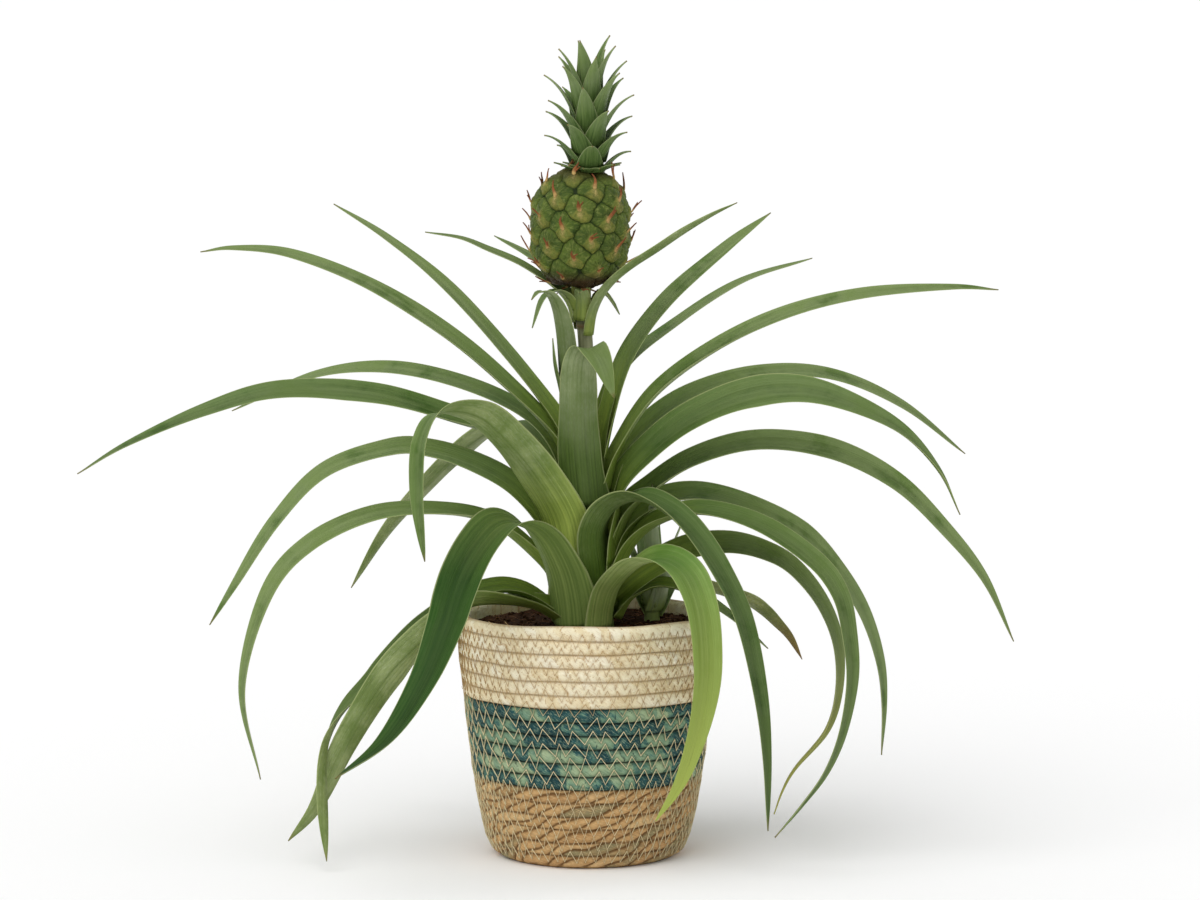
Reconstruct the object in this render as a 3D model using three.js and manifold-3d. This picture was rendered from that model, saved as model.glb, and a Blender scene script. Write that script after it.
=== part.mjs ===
// Potted dwarf pineapple plant in a coiled straw basket.
// Millimetres, +Z up. The origin is on the ground, under the middle of the basket.
// A bearing is an angle seen from above: 0 is +X, 90 is +Y, and the plant is seen from -Y.

import * as THREE from "three";
import { mergeVertices } from "three/addons/utils/BufferGeometryUtils.js";
import Module from "manifold-3d";

// Basket: coils of straw rope, wound in three colours, and a flat coiled floor
const BASKET_SIDES = 34;
const BASKET_OUTLINE = [
  [55.5, 3],
  [58.5, 8],
  [61.5, 21],
  [66.7, 47],
  [72.3, 93],
  [75.4, 120],
  [75.6, 141],
];
const BASKET_HEIGHT = 141;
const COIL_COUNT = 18;
const TAN_COILS = 6;
const TEAL_COILS = 6;
const COIL_BULGE = 1.5;
const BASKET_WALL = 6.2;
const BASKET_FLOOR = 6;
const BASKET_FOOT_RADIUS = 52;

// Soil: a moist coir mix, filled to a little under the rim
const SOIL_TOP = 133.5;
const SOIL_RINGS = [0.35, 0.6, 0.8, 1];
const SOIL_LOWEST = -0.96;
const SOIL_ROUGHNESS = 1.6;
const SOIL_SEED = 31;
const SOIL_GAP = 0.3;
const HOLE_ABOVE_SOIL = 20;

// Stem: short, thick where the leaves clasp it, and drawn out above into the fruit's stalk
const STEM_SIDES = 14;
const STEM_FOOT = 92;
const STEM_OUTLINE = [
  [14, STEM_FOOT],
  [15.5, 132],
  [15.5, 150],
  [12.5, 185],
  [9, 215],
  [6, 240],
  [4.6, 262],
  [4.3, 285],
  [4.3, 308],
  [5.6, 330],
];
const STEM_TOP = 333;
const LEAN_FROM = 250;
const STALK_LEAN = 4.4;
const CROWN_LEAN = -0.5;

// Fruit: barrel-shaped, covered with eyes set by the golden angle.
// The core's rings are given as shares of half its height, from its middle.
const FRUIT_BOTTOM = 333.4;
const FRUIT_HEIGHT = 64.6;
const FRUIT_RADIUS = 27;
const FRUIT_POWER = 2.6;
const FRUIT_CORE_SIDES = 10;
const FRUIT_CORE_RINGS = [-1, -0.94, -0.75, -0.4, 0.4, 0.75, 0.94, 1];
const FRUIT_CORE_INSET = 0.5;
const FRUIT_EYES = 52;
const FRUIT_SLICES = 400;
const EYE_SIDES = 6;
const EYE_RADIUS = 8.8;
const EYE_DEPTH = 1.2;
const EYE_TOP_SHARE = 0.6;
const EYE_RISE = 2.7;
const BRACT_RISE = 3.25;
const BRACT_REACH = 5.2;
const BRACT_TIP_RADIUS = 0.35;
const GOLDEN_ANGLE = 137.508;

// Crown: a tuft of short stiff leaves on top of the fruit.
// A pair holds the value of the lowest leaf and that of the topmost one.
const CROWN_BOTTOM = 398.4;
const CROWN_CORE_SIDES = 10;
const CROWN_CORE_OUTLINE = [
  [9.5, 0],
  [7.1, 12],
  [3.5, 44],
];
const CROWN_LEAVES = 30;
const CROWN_LEAF_HEIGHT = [1.5, 41.5];
const CROWN_LEAF_RADIUS = [7, 1.5];
const CROWN_LEAF_LENGTH = [21, 39];
const CROWN_LONGEST_FROM = 0.6;
const CROWN_LEAF_WIDTH = [15, 16];
const CROWN_LEAF_LEAN = [0.95, 0.16];
const CROWN_LEAF_CURL = [0.6, 0.5];
const CROWN_LEAF_STEPS = 3;

// Offset: a young side shoot beside the stem.
// A pair holds the value of its outermost leaf and that of its innermost one.
const OFFSET_AT = [37.5, 20];
const OFFSET_FOOT = 116;
const OFFSET_STEM_OUTLINE = [
  [4.5, 0],
  [4.5, 28],
  [2, 40],
];
const OFFSET_LEAVES = 8;
const OFFSET_FIRST_BEARING = 27;
const OFFSET_LEAF_HEIGHT = [20.5, 30.5];
const OFFSET_LEAF_RADIUS = [3, 1.5];
const OFFSET_LEAF_LENGTH = [38, 72];
const OFFSET_LEAF_WIDTH = 14;
const OFFSET_LEAF_LEAN = [0.55, 0.12];
const OFFSET_LEAF_CURL = 0.35;
const OFFSET_LEAF_STEPS = 4;

// Short leaves of the crown and the offset
const TUFT_THICKNESS = 1.6;
const TUFT_POINT_POWER = 1.2;
const TUFT_TIP_HALF_WIDTH = 0.4;

// Gap that pieces keep from each other where one is shaped by the other
const GAP = 0.35;

// Leaves, listed from the innermost to the outermost of the rosette.
// Each has a bearing, a width and a twist (at its foot, its middle and its tip, in degrees).
// The midrib's points are [distance out, height, shift to the side of the bearing].
const LEAVES = [
  {
    name: "heart_leaf_left",
    bearing: 188,
    width: 12,
    twist: [0, 0, 0],
    rib: [[7.5, 237], [12, 258], [18.5, 283], [20.5, 302]],
  },
  {
    name: "heart_leaf_curled",
    bearing: 230,
    width: 18,
    twist: [0, 0, 0],
    rib: [
      [7.5, 240, -2], [9, 260, -4], [13, 290, -5], [18, 311, -4], [25, 323, -2], [35, 331],
      [44, 332], [50, 328],
    ],
  },
  {
    name: "heart_leaf_front",
    bearing: 270,
    width: 25,
    twist: [0, 0, 20],
    rib: [
      [10, 206, -2], [13, 238, -5], [16, 268, -5.5], [21, 291, -4.5], [29, 300, 1], [40, 293, 8],
      [49, 273, 15],
    ],
  },
  {
    name: "right_leaf_1",
    bearing: 30,
    width: 16,
    twist: [0, 18, 28],
    rib: [[8, 232], [14.5, 257], [27, 291], [54.5, 322], [93, 350], [124, 369]],
  },
  {
    name: "left_leaf_1",
    bearing: 150,
    width: 15,
    twist: [0, -7, -14],
    rib: [[8, 229], [21.5, 254], [56, 291.5], [99, 329.5], [136.5, 353.5], [174, 372]],
  },
  {
    name: "right_leaf_2",
    bearing: 50,
    width: 12,
    twist: [0, 0, 12],
    rib: [[7, 226], [15, 257], [33, 283], [79, 303.5], [143, 324], [211, 332.5]],
  },
  {
    name: "left_leaf_2",
    bearing: 170,
    width: 18,
    twist: [0, -22, -26],
    rib: [
      [9, 220], [19, 245.5], [51, 277], [85, 304], [130, 331], [176, 347.5], [210, 350.5],
      [230, 348],
    ],
  },
  {
    name: "right_leaf_3",
    bearing: 10,
    width: 17,
    twist: [0, 20, 36],
    rib: [
      [9, 213], [17, 236.5], [39, 269], [75, 295], [118, 314.5], [163, 324.5], [216, 327.5],
      [244, 325.5],
    ],
  },
  {
    name: "back_leaf_1",
    bearing: 92,
    width: 17,
    twist: [0, 0, 0],
    rib: [[9.5, 210], [22, 232], [55, 246], [95, 240], [130, 215], [156, 180], [170, 142]],
  },
  {
    name: "left_leaf_3",
    bearing: 145,
    width: 16,
    twist: [0, -24, -40],
    rib: [[10, 204], [22, 236], [45, 255], [90, 269], [146, 274.5], [201, 266.5], [264, 240.5]],
  },
  {
    name: "right_leaf_4",
    bearing: 35,
    width: 16,
    twist: [0, 26, 62],
    rib: [
      [10.5, 200], [21, 229], [41, 248.5], [75, 265], [124, 273], [177, 268.5], [231, 246.5],
      [280, 213],
    ],
  },
  {
    name: "right_leaf_5",
    bearing: -10,
    width: 26,
    twist: [24, 50, -12],
    rib: [
      [12.5, 172], [13, 192], [19, 217], [38, 239], [61, 256.5], [92, 270], [123, 274],
      [152, 267.5], [183, 252], [205, 229], [217, 204],
    ],
  },
  {
    name: "left_leaf_4",
    bearing: 185,
    width: 21,
    twist: [0, -38, -12],
    rib: [
      [11.5, 194], [24, 229], [45, 246], [77, 256.5], [123, 270], [178, 273], [222, 261.5],
      [266, 243], [295, 226],
    ],
  },
  {
    name: "left_leaf_5",
    bearing: 225,
    width: 28,
    twist: [24, 28, 0],
    rib: [
      [14.5, 174], [22, 200], [39, 223], [61, 245.5], [88, 265], [118.5, 269.5], [132.5, 254],
      [135, 226], [133, 204], [130, 185],
    ],
  },
  {
    name: "right_leaf_6",
    bearing: 0,
    width: 23,
    twist: [6, 34, 26],
    rib: [
      [13.5, 162], [14.5, 180], [22, 201.5], [36, 214.5], [59, 230], [90, 240], [121, 240],
      [151, 232.5], [181, 216], [206, 191.5], [230, 161.5], [248, 124],
    ],
  },
  {
    name: "left_leaf_7",
    bearing: 135,
    width: 19,
    twist: [0, 18, 14],
    rib: [
      [13, 182], [26, 223], [48, 244.5], [70, 246], [92, 235.5], [112, 222], [134, 205],
      [173, 170], [204, 133],
    ],
  },
  {
    name: "right_leaf_10",
    bearing: -40,
    width: 25,
    twist: [4, -6, -8],
    rib: [
      [10.5, 153, 1], [12.8, 172, -6], [14, 192, -9], [22, 207, -5], [38, 214, -2],
      [56.5, 209.5], [75.5, 198.5], [96, 178], [115, 149], [127, 107], [132.5, 70], [134, 29],
    ],
  },
  {
    name: "left_leaf_6",
    bearing: 190,
    width: 22,
    twist: [-42, -20, -28],
    rib: [
      [14, 166], [24, 192.5], [44, 216], [67, 229.5], [92, 238], [115, 239.5], [154, 227.5],
      [182, 199.5], [206, 163], [221, 140],
    ],
  },
  {
    name: "right_leaf_7",
    bearing: 15,
    width: 24,
    twist: [0, 38, 38],
    rib: [
      [14, 166], [22, 190.5], [43, 205.5], [68, 208.5], [98, 199.5], [130, 182], [152, 159],
      [168, 134.5], [178, 105], [181, 78], [180, 48],
    ],
  },
  {
    name: "back_leaf_2",
    bearing: 86,
    width: 19,
    twist: [0, 0, 0],
    rib: [[14, 166], [26, 188], [50, 196], [86, 186], [118, 158], [140, 118], [150, 74]],
  },
  {
    name: "right_leaf_8",
    bearing: -15,
    width: 18,
    twist: [8, 32, 4],
    rib: [
      [14.5, 160], [26, 184.5], [44, 198.5], [70, 204], [104, 196], [135, 176.5],
      [150, 158.5, -3], [155.5, 136, -3], [158.5, 110, -7], [155.5, 81, -16], [148.5, 59, -28],
      [137, 41, -40], [124, 24, -50],
    ],
  },
  {
    name: "left_leaf_8",
    bearing: 195,
    width: 17,
    twist: [-5, -30, -12],
    rib: [
      [15, 156], [28, 174.5], [55, 196.5], [87, 204.5], [127, 203.5], [165, 187.5], [190, 159.5],
      [205, 106], [195, 52],
    ],
  },
  {
    name: "right_leaf_9",
    bearing: -4,
    width: 20,
    twist: [48, 22, 8],
    rib: [
      [14.5, 150.5], [28, 162], [42.5, 171], [60, 179.5], [82, 182], [102, 177.5], [119, 168],
      [135.5, 148], [145, 125, -4], [146, 99, -10], [139.5, 76, -16], [122, 55, -23],
      [115, 43, -28], [110, 29, -30],
    ],
  },
  {
    name: "back_leaf_3",
    bearing: 100,
    width: 18,
    twist: [0, 0, 0],
    rib: [[15.5, 150], [34, 166], [62, 166], [92, 144], [112, 108], [120, 66]],
  },
  {
    name: "left_leaf_9",
    bearing: 232,
    width: 31,
    twist: [0, -14, 14],
    rib: [
      [16.5, 136], [20, 153], [28, 172], [45, 193], [64, 203], [82, 203], [99, 193], [112, 180],
      [121, 166], [129.5, 149.5], [150, 120], [183, 91.5], [226, 77],
    ],
  },
  {
    name: "back_leaf_4",
    bearing: 68,
    width: 17,
    twist: [0, 0, 0],
    rib: [[16, 146], [36, 156], [64, 152], [94, 126], [114, 86], [122, 42]],
  },
  {
    name: "right_leaf_11",
    bearing: -58,
    width: 26,
    twist: [30, 0, 0],
    rib: [
      [16.5, 135.6], [20, 149], [30, 164], [56, 180], [84, 184], [107, 177], [121, 159],
      [126, 134], [126, 112, -1], [124, 86, -6], [120, 61, -14], [111, 39, -24],
    ],
  },
  {
    name: "left_leaf_11",
    bearing: 182,
    width: 19,
    twist: [0, -45, 90],
    rib: [
      [16, 139], [30, 150.5], [42, 155.5], [55, 155.5], [74, 149], [88, 139.5], [100, 130.5, 4],
      [112, 118.5, 8], [125, 104.5, 14], [140, 91.5, 22], [149.5, 78, 30], [153.5, 63, 40],
      [154, 38, 52], [152, 7, 60],
    ],
  },
  {
    name: "left_leaf_10",
    bearing: 195,
    width: 24,
    twist: [-20, 75, 85],
    rib: [
      [17, 141], [36, 149], [68, 151], [88, 140], [103, 127], [124, 103], [145, 70], [162, 35],
      [179, 15],
    ],
  },
  {
    name: "right_leaf_12",
    bearing: 50,
    width: 15,
    twist: [0, -25, -32],
    rib: [
      [16, 138], [42, 149], [74, 152], [98, 147], [117, 141], [149, 130.5], [166, 121.5],
      [179, 112], [191, 102], [203, 87],
    ],
  },
  {
    name: "right_leaf_13",
    bearing: -4,
    width: 14,
    twist: [8, 22, 10],
    rib: [
      [16.5, 139], [23.5, 149.5], [31, 155], [40, 158.5], [51, 157.5], [65, 152], [78, 144],
      [90, 134.5], [105, 121],
    ],
  },
];
const LEAF_STEP_LENGTH = 30;
const LEAF_STEPS_LEAST = 7;
const LEAF_STEPS_MOST = 15;
const LEAF_BASE_THICKNESS = 1.3;
const LEAF_TIP_THICKNESS = 0.8;
const LEAF_TIP_WIDTH = 1.2;
const LEAF_FOOT_FLARE = 0.25;
const LEAF_FLARE_POWER = 6;
const LEAF_NARROWING = 0.2;
const LEAF_POINT_POWER = 4;
const LEAF_POINT_BLUNTNESS = 0.8;
const LEAF_FOOT_CUP = 0.3;
const LEAF_TIP_CUP = 0.12;
const LEAF_CUP_FADE = 1.6;

// Narrow leaves on the fruit's stalk, below the fruit
const STALK_LEAVES = [
  {
    name: "stalk_leaf_right",
    bearing: -50,
    width: 6.5,
    twist: [0, -30, -35],
    rib: [
      [4.2, 304, -2.5], [7, 316, -2.5], [12, 326, -1.5], [19, 334], [29, 341], [43, 349],
      [62, 358.5], [84.5, 370], [109, 381], [130, 389],
    ],
  },
  {
    name: "stalk_leaf_left",
    bearing: 165,
    width: 8,
    twist: [0, -18, -20],
    rib: [
      [7.4, 311, 0.5], [11, 322], [18, 330], [28, 337], [42, 345], [60, 352], [76, 358],
      [98, 361],
    ],
  },
  {
    name: "stalk_leaf_behind",
    bearing: 130,
    width: 7,
    twist: [0, -15, -25],
    rib: [[6.5, 307, 1.5], [12, 320, 1], [24, 332], [38, 340], [56, 347], [86, 355]],
  },
  {
    name: "stalk_leaf_rolled",
    bearing: 265,
    width: 11,
    twist: [0, 0, 0],
    rib: [[5.4, 313, -2.3], [7, 321, -2.5], [10, 328, -2.7], [15, 332, -2.8], [20, 330, -3]],
  },
  {
    name: "stalk_bract_left",
    bearing: 215,
    width: 7,
    twist: [0, 0, 0],
    rib: [[7.4, 318, -1.5], [13, 327, -1], [23, 331], [32, 326], [39, 310]],
  },
  {
    name: "stalk_bract_right",
    bearing: 15,
    width: 8,
    twist: [0, 20, 30],
    rib: [[2.6, 320, 0.7], [6, 327, 0.4], [10, 328], [15, 322], [19, 315]],
  },
];

const wasm = await Module();
wasm.setup();

const plant = new THREE.Group();
const WELD = 1e-4;
const { lerp, degToRad } = THREE.MathUtils;

function materialOf(colour, roughness) {
  return new THREE.MeshStandardMaterial({ color: colour, roughness, metalness: 0 });
}

// A repeatable draw of numbers from 0 to 1
function drawFrom(seed) {
  let state = seed;
  return () => {
    state = (state * 16807) % 2147483647;
    return state / 2147483647;
  };
}

function solidOf(geometry) {
  const bare = geometry.clone();
  bare.deleteAttribute("normal");
  bare.deleteAttribute("uv");
  const merged = mergeVertices(bare, WELD);
  return new wasm.Manifold(
    new wasm.Mesh({
      numProp: 3,
      vertProperties: new Float32Array(merged.attributes.position.array),
      triVerts: new Uint32Array(merged.index.array),
    }),
  );
}

function geometryOf(solid) {
  const mesh = solid.getMesh();
  const geometry = new THREE.BufferGeometry();
  geometry.setAttribute("position", new THREE.BufferAttribute(mesh.vertProperties, 3));
  geometry.setIndex(new THREE.BufferAttribute(mesh.triVerts, 1));
  geometry.computeVertexNormals();
  return geometry;
}

// The largest body of a cut solid: small scraps fall away
function mainBody(solid) {
  return solid.decompose().reduce((a, b) => (b.volume() > a.volume() ? b : a));
}

function addPiece(name, geometry, material) {
  const mesh = new THREE.Mesh(geometry, material);
  mesh.name = name;
  plant.add(mesh);
}

// A body turned round the Z axis from an outline of [radius, height]
function turned(outline, sides) {
  const points = outline.map(([radius, height]) => new THREE.Vector2(radius, height));
  return new THREE.LatheGeometry(points, sides).rotateX(Math.PI / 2);
}

// The two faces, the edges and the ends of a blade, closed into one body.
// Both faces are split into triangles alike, so that a wave keeps them apart.
function closedBlade(upper, lower) {
  const rows = upper.length;
  const across = upper[0].length;
  const positions = [...upper.flat(), ...lower.flat()].flatMap((point) => point.toArray());
  const up = (row, k) => row * across + k;
  const low = (row, k) => rows * across + row * across + k;
  const index = [];
  const quad = (a, b, c, d) => index.push(a, b, c, a, c, d);
  for (let row = 0; row + 1 < rows; row++) {
    for (let k = 0; k + 1 < across; k++) {
      quad(up(row, k), up(row + 1, k), up(row + 1, k + 1), up(row, k + 1));
      index.push(low(row, k), low(row + 1, k + 1), low(row + 1, k));
      index.push(low(row, k), low(row, k + 1), low(row + 1, k + 1));
    }
    quad(up(row, 0), low(row, 0), low(row + 1, 0), up(row + 1, 0));
    const edge = across - 1;
    quad(up(row, edge), up(row + 1, edge), low(row + 1, edge), low(row, edge));
  }
  const tip = rows - 1;
  for (let k = 0; k + 1 < across; k++) {
    quad(up(0, k), up(0, k + 1), low(0, k + 1), low(0, k));
    quad(up(tip, k), low(tip, k), low(tip, k + 1), up(tip, k + 1));
  }
  const geometry = new THREE.BufferGeometry();
  geometry.setAttribute("position", new THREE.Float32BufferAttribute(positions, 3));
  geometry.setIndex(index);
  return geometry;
}

// A value that runs from the first to the middle to the last of three along the blade
function alongThree([first, middle, last], u) {
  return u < 0.5 ? first + (middle - first) * u * 2 : middle + (last - middle) * (u * 2 - 1);
}

// A leaf's width along the blade: flared at the foot, then slowly narrower, and pointed
function taper(u) {
  const foot = 1 + LEAF_FOOT_FLARE * (1 - u) ** LEAF_FLARE_POWER;
  const point = (1 - u ** LEAF_POINT_POWER) ** LEAF_POINT_BLUNTNESS;
  return foot * (1 - LEAF_NARROWING * u) * point;
}

// One channelled, tapering leaf along its midrib. grow thickens it all round by that much.
function leafGeometry(leaf, grow = 0) {
  const bearing = degToRad(leaf.bearing);
  const outward = new THREE.Vector3(Math.cos(bearing), Math.sin(bearing), 0);
  const sideways = new THREE.Vector3(-Math.sin(bearing), Math.cos(bearing), 0);
  const midrib = new THREE.CatmullRomCurve3(
    leaf.rib.map(([out, height, side = 0]) =>
      outward.clone().multiplyScalar(out).addScaledVector(sideways, side).setZ(height),
    ),
    false,
    "catmullrom",
    0.5,
  );
  const wanted = Math.round(midrib.getLength() / LEAF_STEP_LENGTH);
  const steps = THREE.MathUtils.clamp(wanted, LEAF_STEPS_LEAST, LEAF_STEPS_MOST);
  const upper = [];
  const lower = [];
  for (let step = 0; step <= steps; step++) {
    const u = step / steps;
    const middle = midrib.getPointAt(u);
    const along = midrib.getTangentAt(u);
    const flatAcross = sideways.clone().addScaledVector(along, -sideways.dot(along)).normalize();
    const flatUp = new THREE.Vector3().crossVectors(along, flatAcross);
    const twist = degToRad(alongThree(leaf.twist, u));
    const across = flatAcross
      .clone()
      .multiplyScalar(Math.cos(twist))
      .addScaledVector(flatUp, Math.sin(twist));
    const face = new THREE.Vector3().crossVectors(along, across);
    const width = Math.max(leaf.width * taper(u), LEAF_TIP_WIDTH) + 2 * grow;
    const cup = lerp(LEAF_TIP_CUP, LEAF_FOOT_CUP, Math.max(0, 1 - u * LEAF_CUP_FADE));
    const thickness = lerp(LEAF_BASE_THICKNESS, LEAF_TIP_THICKNESS, u) + 2 * grow;
    if (step === 0 && grow) middle.addScaledVector(along, -grow);
    if (step === steps && grow) middle.addScaledVector(along, grow);
    const rowOf = (offset) =>
      [-1, 0, 1].map((e) =>
        middle
          .clone()
          .addScaledVector(across, (e * width) / 2)
          .addScaledVector(face, cup * width * (Math.abs(e) - 0.5) + offset),
      );
    upper.push(rowOf(thickness / 2));
    lower.push(rowOf(-thickness / 2));
  }
  return closedBlade(upper, lower);
}

// Rings of points closed into one body with flat ends
function ringsSolid(rings) {
  const count = rings[0].length;
  const positions = rings.flat().flatMap((point) => point.toArray());
  const index = [];
  for (let row = 0; row + 1 < rings.length; row++) {
    for (let k = 0; k < count; k++) {
      const a = row * count + k;
      const b = row * count + ((k + 1) % count);
      index.push(a, b, b + count, a, b + count, a + count);
    }
  }
  const last = (rings.length - 1) * count;
  for (let k = 1; k + 1 < count; k++) {
    index.push(0, k + 1, k);
    index.push(last, last + k, last + k + 1);
  }
  const geometry = new THREE.BufferGeometry();
  geometry.setAttribute("position", new THREE.Float32BufferAttribute(positions, 3));
  geometry.setIndex(index);
  return solidOf(geometry);
}

// A short pointed leaf, flat above and keeled below. It stands at a height and a distance from
// the axis, leans out by the angle lean, and curls out by as much as curl more at its tip.
function tuftLeaf({ angle, radius, height, length, width, lean, curl, steps }, grow) {
  const outward = new THREE.Vector3(Math.cos(angle), Math.sin(angle), 0);
  const sideways = new THREE.Vector3(-outward.y, outward.x, 0);
  const thickness = TUFT_THICKNESS + 2 * grow;
  const rings = [];
  const point = outward.clone().multiplyScalar(radius).setZ(height);
  for (let step = 0; step <= steps; step++) {
    const u = step / steps;
    const tilt = lean + curl * u * u;
    const along = outward.clone().multiplyScalar(Math.sin(tilt)).setZ(Math.cos(tilt));
    const face = new THREE.Vector3().crossVectors(along, sideways);
    const half = Math.max((width / 2 + grow) * (1 - u ** TUFT_POINT_POWER), TUFT_TIP_HALF_WIDTH);
    rings.push([
      point.clone().addScaledVector(sideways, -half),
      point.clone().addScaledVector(face, -thickness),
      point.clone().addScaledVector(sideways, half),
    ]);
    point.addScaledVector(along, length / steps);
  }
  return ringsSolid(rings);
}

// Basket

// The radius of an outline of [radius, height] at a height
function between(outline, height) {
  const k = Math.max(
    1,
    outline.findIndex(([, z], i) => i > 0 && z >= height),
  );
  const [r0, z0] = outline[k - 1];
  const [r1, z1] = outline[k];
  return r0 + ((r1 - r0) * (height - z0)) / (z1 - z0);
}

const coilPitch = BASKET_HEIGHT / COIL_COUNT;
const tanTop = TAN_COILS * coilPitch;
const tealTop = (TAN_COILS + TEAL_COILS) * coilPitch;
const wallInside = [BASKET_FLOOR, tanTop, tealTop, BASKET_HEIGHT].map((height) => [
  between(BASKET_OUTLINE, height) - BASKET_WALL,
  height,
]);

// The outside of a run of coils, from the groove under the first to the groove over the last
function coilOutline(first, count) {
  const points = [];
  for (let coil = first; coil < first + count; coil++) {
    const low = coil * coilPitch;
    points.push([between(BASKET_OUTLINE, low) - COIL_BULGE, low]);
    points.push([between(BASKET_OUTLINE, low + coilPitch / 2), low + coilPitch / 2]);
  }
  const top = (first + count) * coilPitch;
  points.push([between(BASKET_OUTLINE, top) - COIL_BULGE, top]);
  return points;
}

const tanOutline = [
  [0, 0],
  [BASKET_FOOT_RADIUS, 0],
  ...coilOutline(0, TAN_COILS).slice(1),
  wallInside[1],
  wallInside[0],
  [0, BASKET_FLOOR],
];
const tealOutline = [...coilOutline(TAN_COILS, TEAL_COILS), wallInside[2], wallInside[1]];
const creamFirst = TAN_COILS + TEAL_COILS;
const creamOutline = [
  ...coilOutline(creamFirst, COIL_COUNT - creamFirst),
  wallInside[3],
  wallInside[2],
];
tealOutline.push(tealOutline[0]);
creamOutline.push(creamOutline[0]);
addPiece("basket_tan_band", turned(tanOutline, BASKET_SIDES), materialOf(0xb99a6c, 0.9));
addPiece("basket_teal_band", turned(tealOutline, BASKET_SIDES), materialOf(0x4f6f66, 0.9));
addPiece("basket_cream_band", turned(creamOutline, BASKET_SIDES), materialOf(0xdccba2, 0.9));

// Soil, with plain holes where the stem and the offset stand

function soilGeometry() {
  const draw = drawFrom(SOIL_SEED);
  const edge = (height) => between(wallInside, height) - SOIL_GAP;
  const bottom = BASKET_FLOOR + SOIL_GAP;
  const outline = [
    [0, bottom],
    [edge(bottom), bottom],
    [edge(tanTop), tanTop],
    [edge(tealTop), tealTop],
  ];
  const rings = [...SOIL_RINGS].reverse().map((share) => [edge(SOIL_TOP) * share, SOIL_TOP]);
  const geometry = turned([...outline, ...rings, [0, SOIL_TOP]], BASKET_SIDES);
  const merged = mergeVertices(geometry.deleteAttribute("normal").deleteAttribute("uv"), WELD);
  const position = merged.attributes.position;
  for (let i = 0; i < position.count; i++) {
    const onTop = position.getZ(i) > SOIL_TOP - WELD;
    if (onTop) position.setZ(i, SOIL_TOP + SOIL_LOWEST + draw() * SOIL_ROUGHNESS);
  }
  return merged;
}

function hole(x, y, radius, foot) {
  const wide = radius + GAP;
  const low = foot - GAP;
  const high = SOIL_TOP + HOLE_ABOVE_SOIL;
  const outline = [
    [0, low],
    [wide, low],
    [wide, high],
    [0, high],
  ];
  return solidOf(turned(outline, STEM_SIDES).translate(x, y, 0));
}

const stemWidest = Math.max(...STEM_OUTLINE.map(([radius]) => radius));
const soil = solidOf(soilGeometry())
  .subtract(hole(0, 0, stemWidest, STEM_FOOT))
  .subtract(hole(...OFFSET_AT, OFFSET_STEM_OUTLINE[0][0], OFFSET_FOOT));
addPiece("soil", geometryOf(soil), materialOf(0x3a2a20, 1));

// Stem and stalk

const stemTopRadius = STEM_OUTLINE.at(-1)[0];
const stemOutline = [[0, STEM_FOOT], ...STEM_OUTLINE, [stemTopRadius, STEM_TOP], [0, STEM_TOP]];

// The stalk bends a little to the left under the fruit
function leaning(geometry) {
  const position = geometry.attributes.position;
  for (let i = 0; i < position.count; i++) {
    const share = Math.max(0, (position.getZ(i) - LEAN_FROM) / (STEM_TOP - LEAN_FROM));
    position.setX(i, position.getX(i) - STALK_LEAN * share ** 2);
  }
  return geometry;
}

addPiece("stem", leaning(turned(stemOutline, STEM_SIDES)), materialOf(0x7d8a52, 0.7));
const grownStemOutline = stemOutline.map(([radius, height]) => [
  radius && radius + GAP,
  height + (height === STEM_TOP ? GAP : 0),
]);
const grownStem = solidOf(leaning(turned(grownStemOutline, STEM_SIDES)));

// Offset: a young side shoot that stands in the soil by itself

function offsetSolid(grow = 0) {
  const top = OFFSET_STEM_OUTLINE.at(-1)[1];
  const side = OFFSET_STEM_OUTLINE.map(([radius, height]) => [radius + grow, height]);
  const outline = [[0, 0], ...side, [0, top]];
  const leaves = Array.from({ length: OFFSET_LEAVES }, (_, i) => {
    const share = i / (OFFSET_LEAVES - 1);
    const leaf = {
      angle: degToRad(i * GOLDEN_ANGLE + OFFSET_FIRST_BEARING),
      radius: lerp(...OFFSET_LEAF_RADIUS, share),
      height: lerp(...OFFSET_LEAF_HEIGHT, share),
      length: lerp(...OFFSET_LEAF_LENGTH, share),
      width: OFFSET_LEAF_WIDTH,
      lean: lerp(...OFFSET_LEAF_LEAN, share),
      curl: OFFSET_LEAF_CURL,
      steps: OFFSET_LEAF_STEPS,
    };
    return tuftLeaf(leaf, grow);
  });
  const stem = solidOf(turned(outline, STEM_SIDES));
  return wasm.Manifold.union([stem, ...leaves]).translate(...OFFSET_AT, OFFSET_FOOT);
}

addPiece("offset", geometryOf(mainBody(offsetSolid())), materialOf(0x5c8446, 0.55));
const grownOffset = offsetSolid(GAP);
const placed = [{ solid: grownOffset, box: grownOffset.boundingBox() }];

// Leaves: each is clipped where a leaf nearer the heart, or the stem, already stands

const leafGreen = materialOf(0x55793f, 0.55);

function boxesMeet(a, b) {
  return [0, 1, 2].every((axis) => a.min[axis] < b.max[axis] && b.min[axis] < a.max[axis]);
}

function addLeaf(leaf) {
  let solid = solidOf(leafGeometry(leaf)).subtract(grownStem);
  const box = solid.boundingBox();
  for (const inner of placed) {
    if (boxesMeet(box, inner.box)) solid = solid.subtract(inner.solid);
  }
  addPiece(leaf.name, geometryOf(mainBody(solid)), leafGreen);
  const grown = solidOf(leafGeometry(leaf, GAP));
  placed.push({ solid: grown, box: grown.boundingBox() });
}

[...STALK_LEAVES, ...LEAVES].forEach(addLeaf);

// Crown

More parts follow.
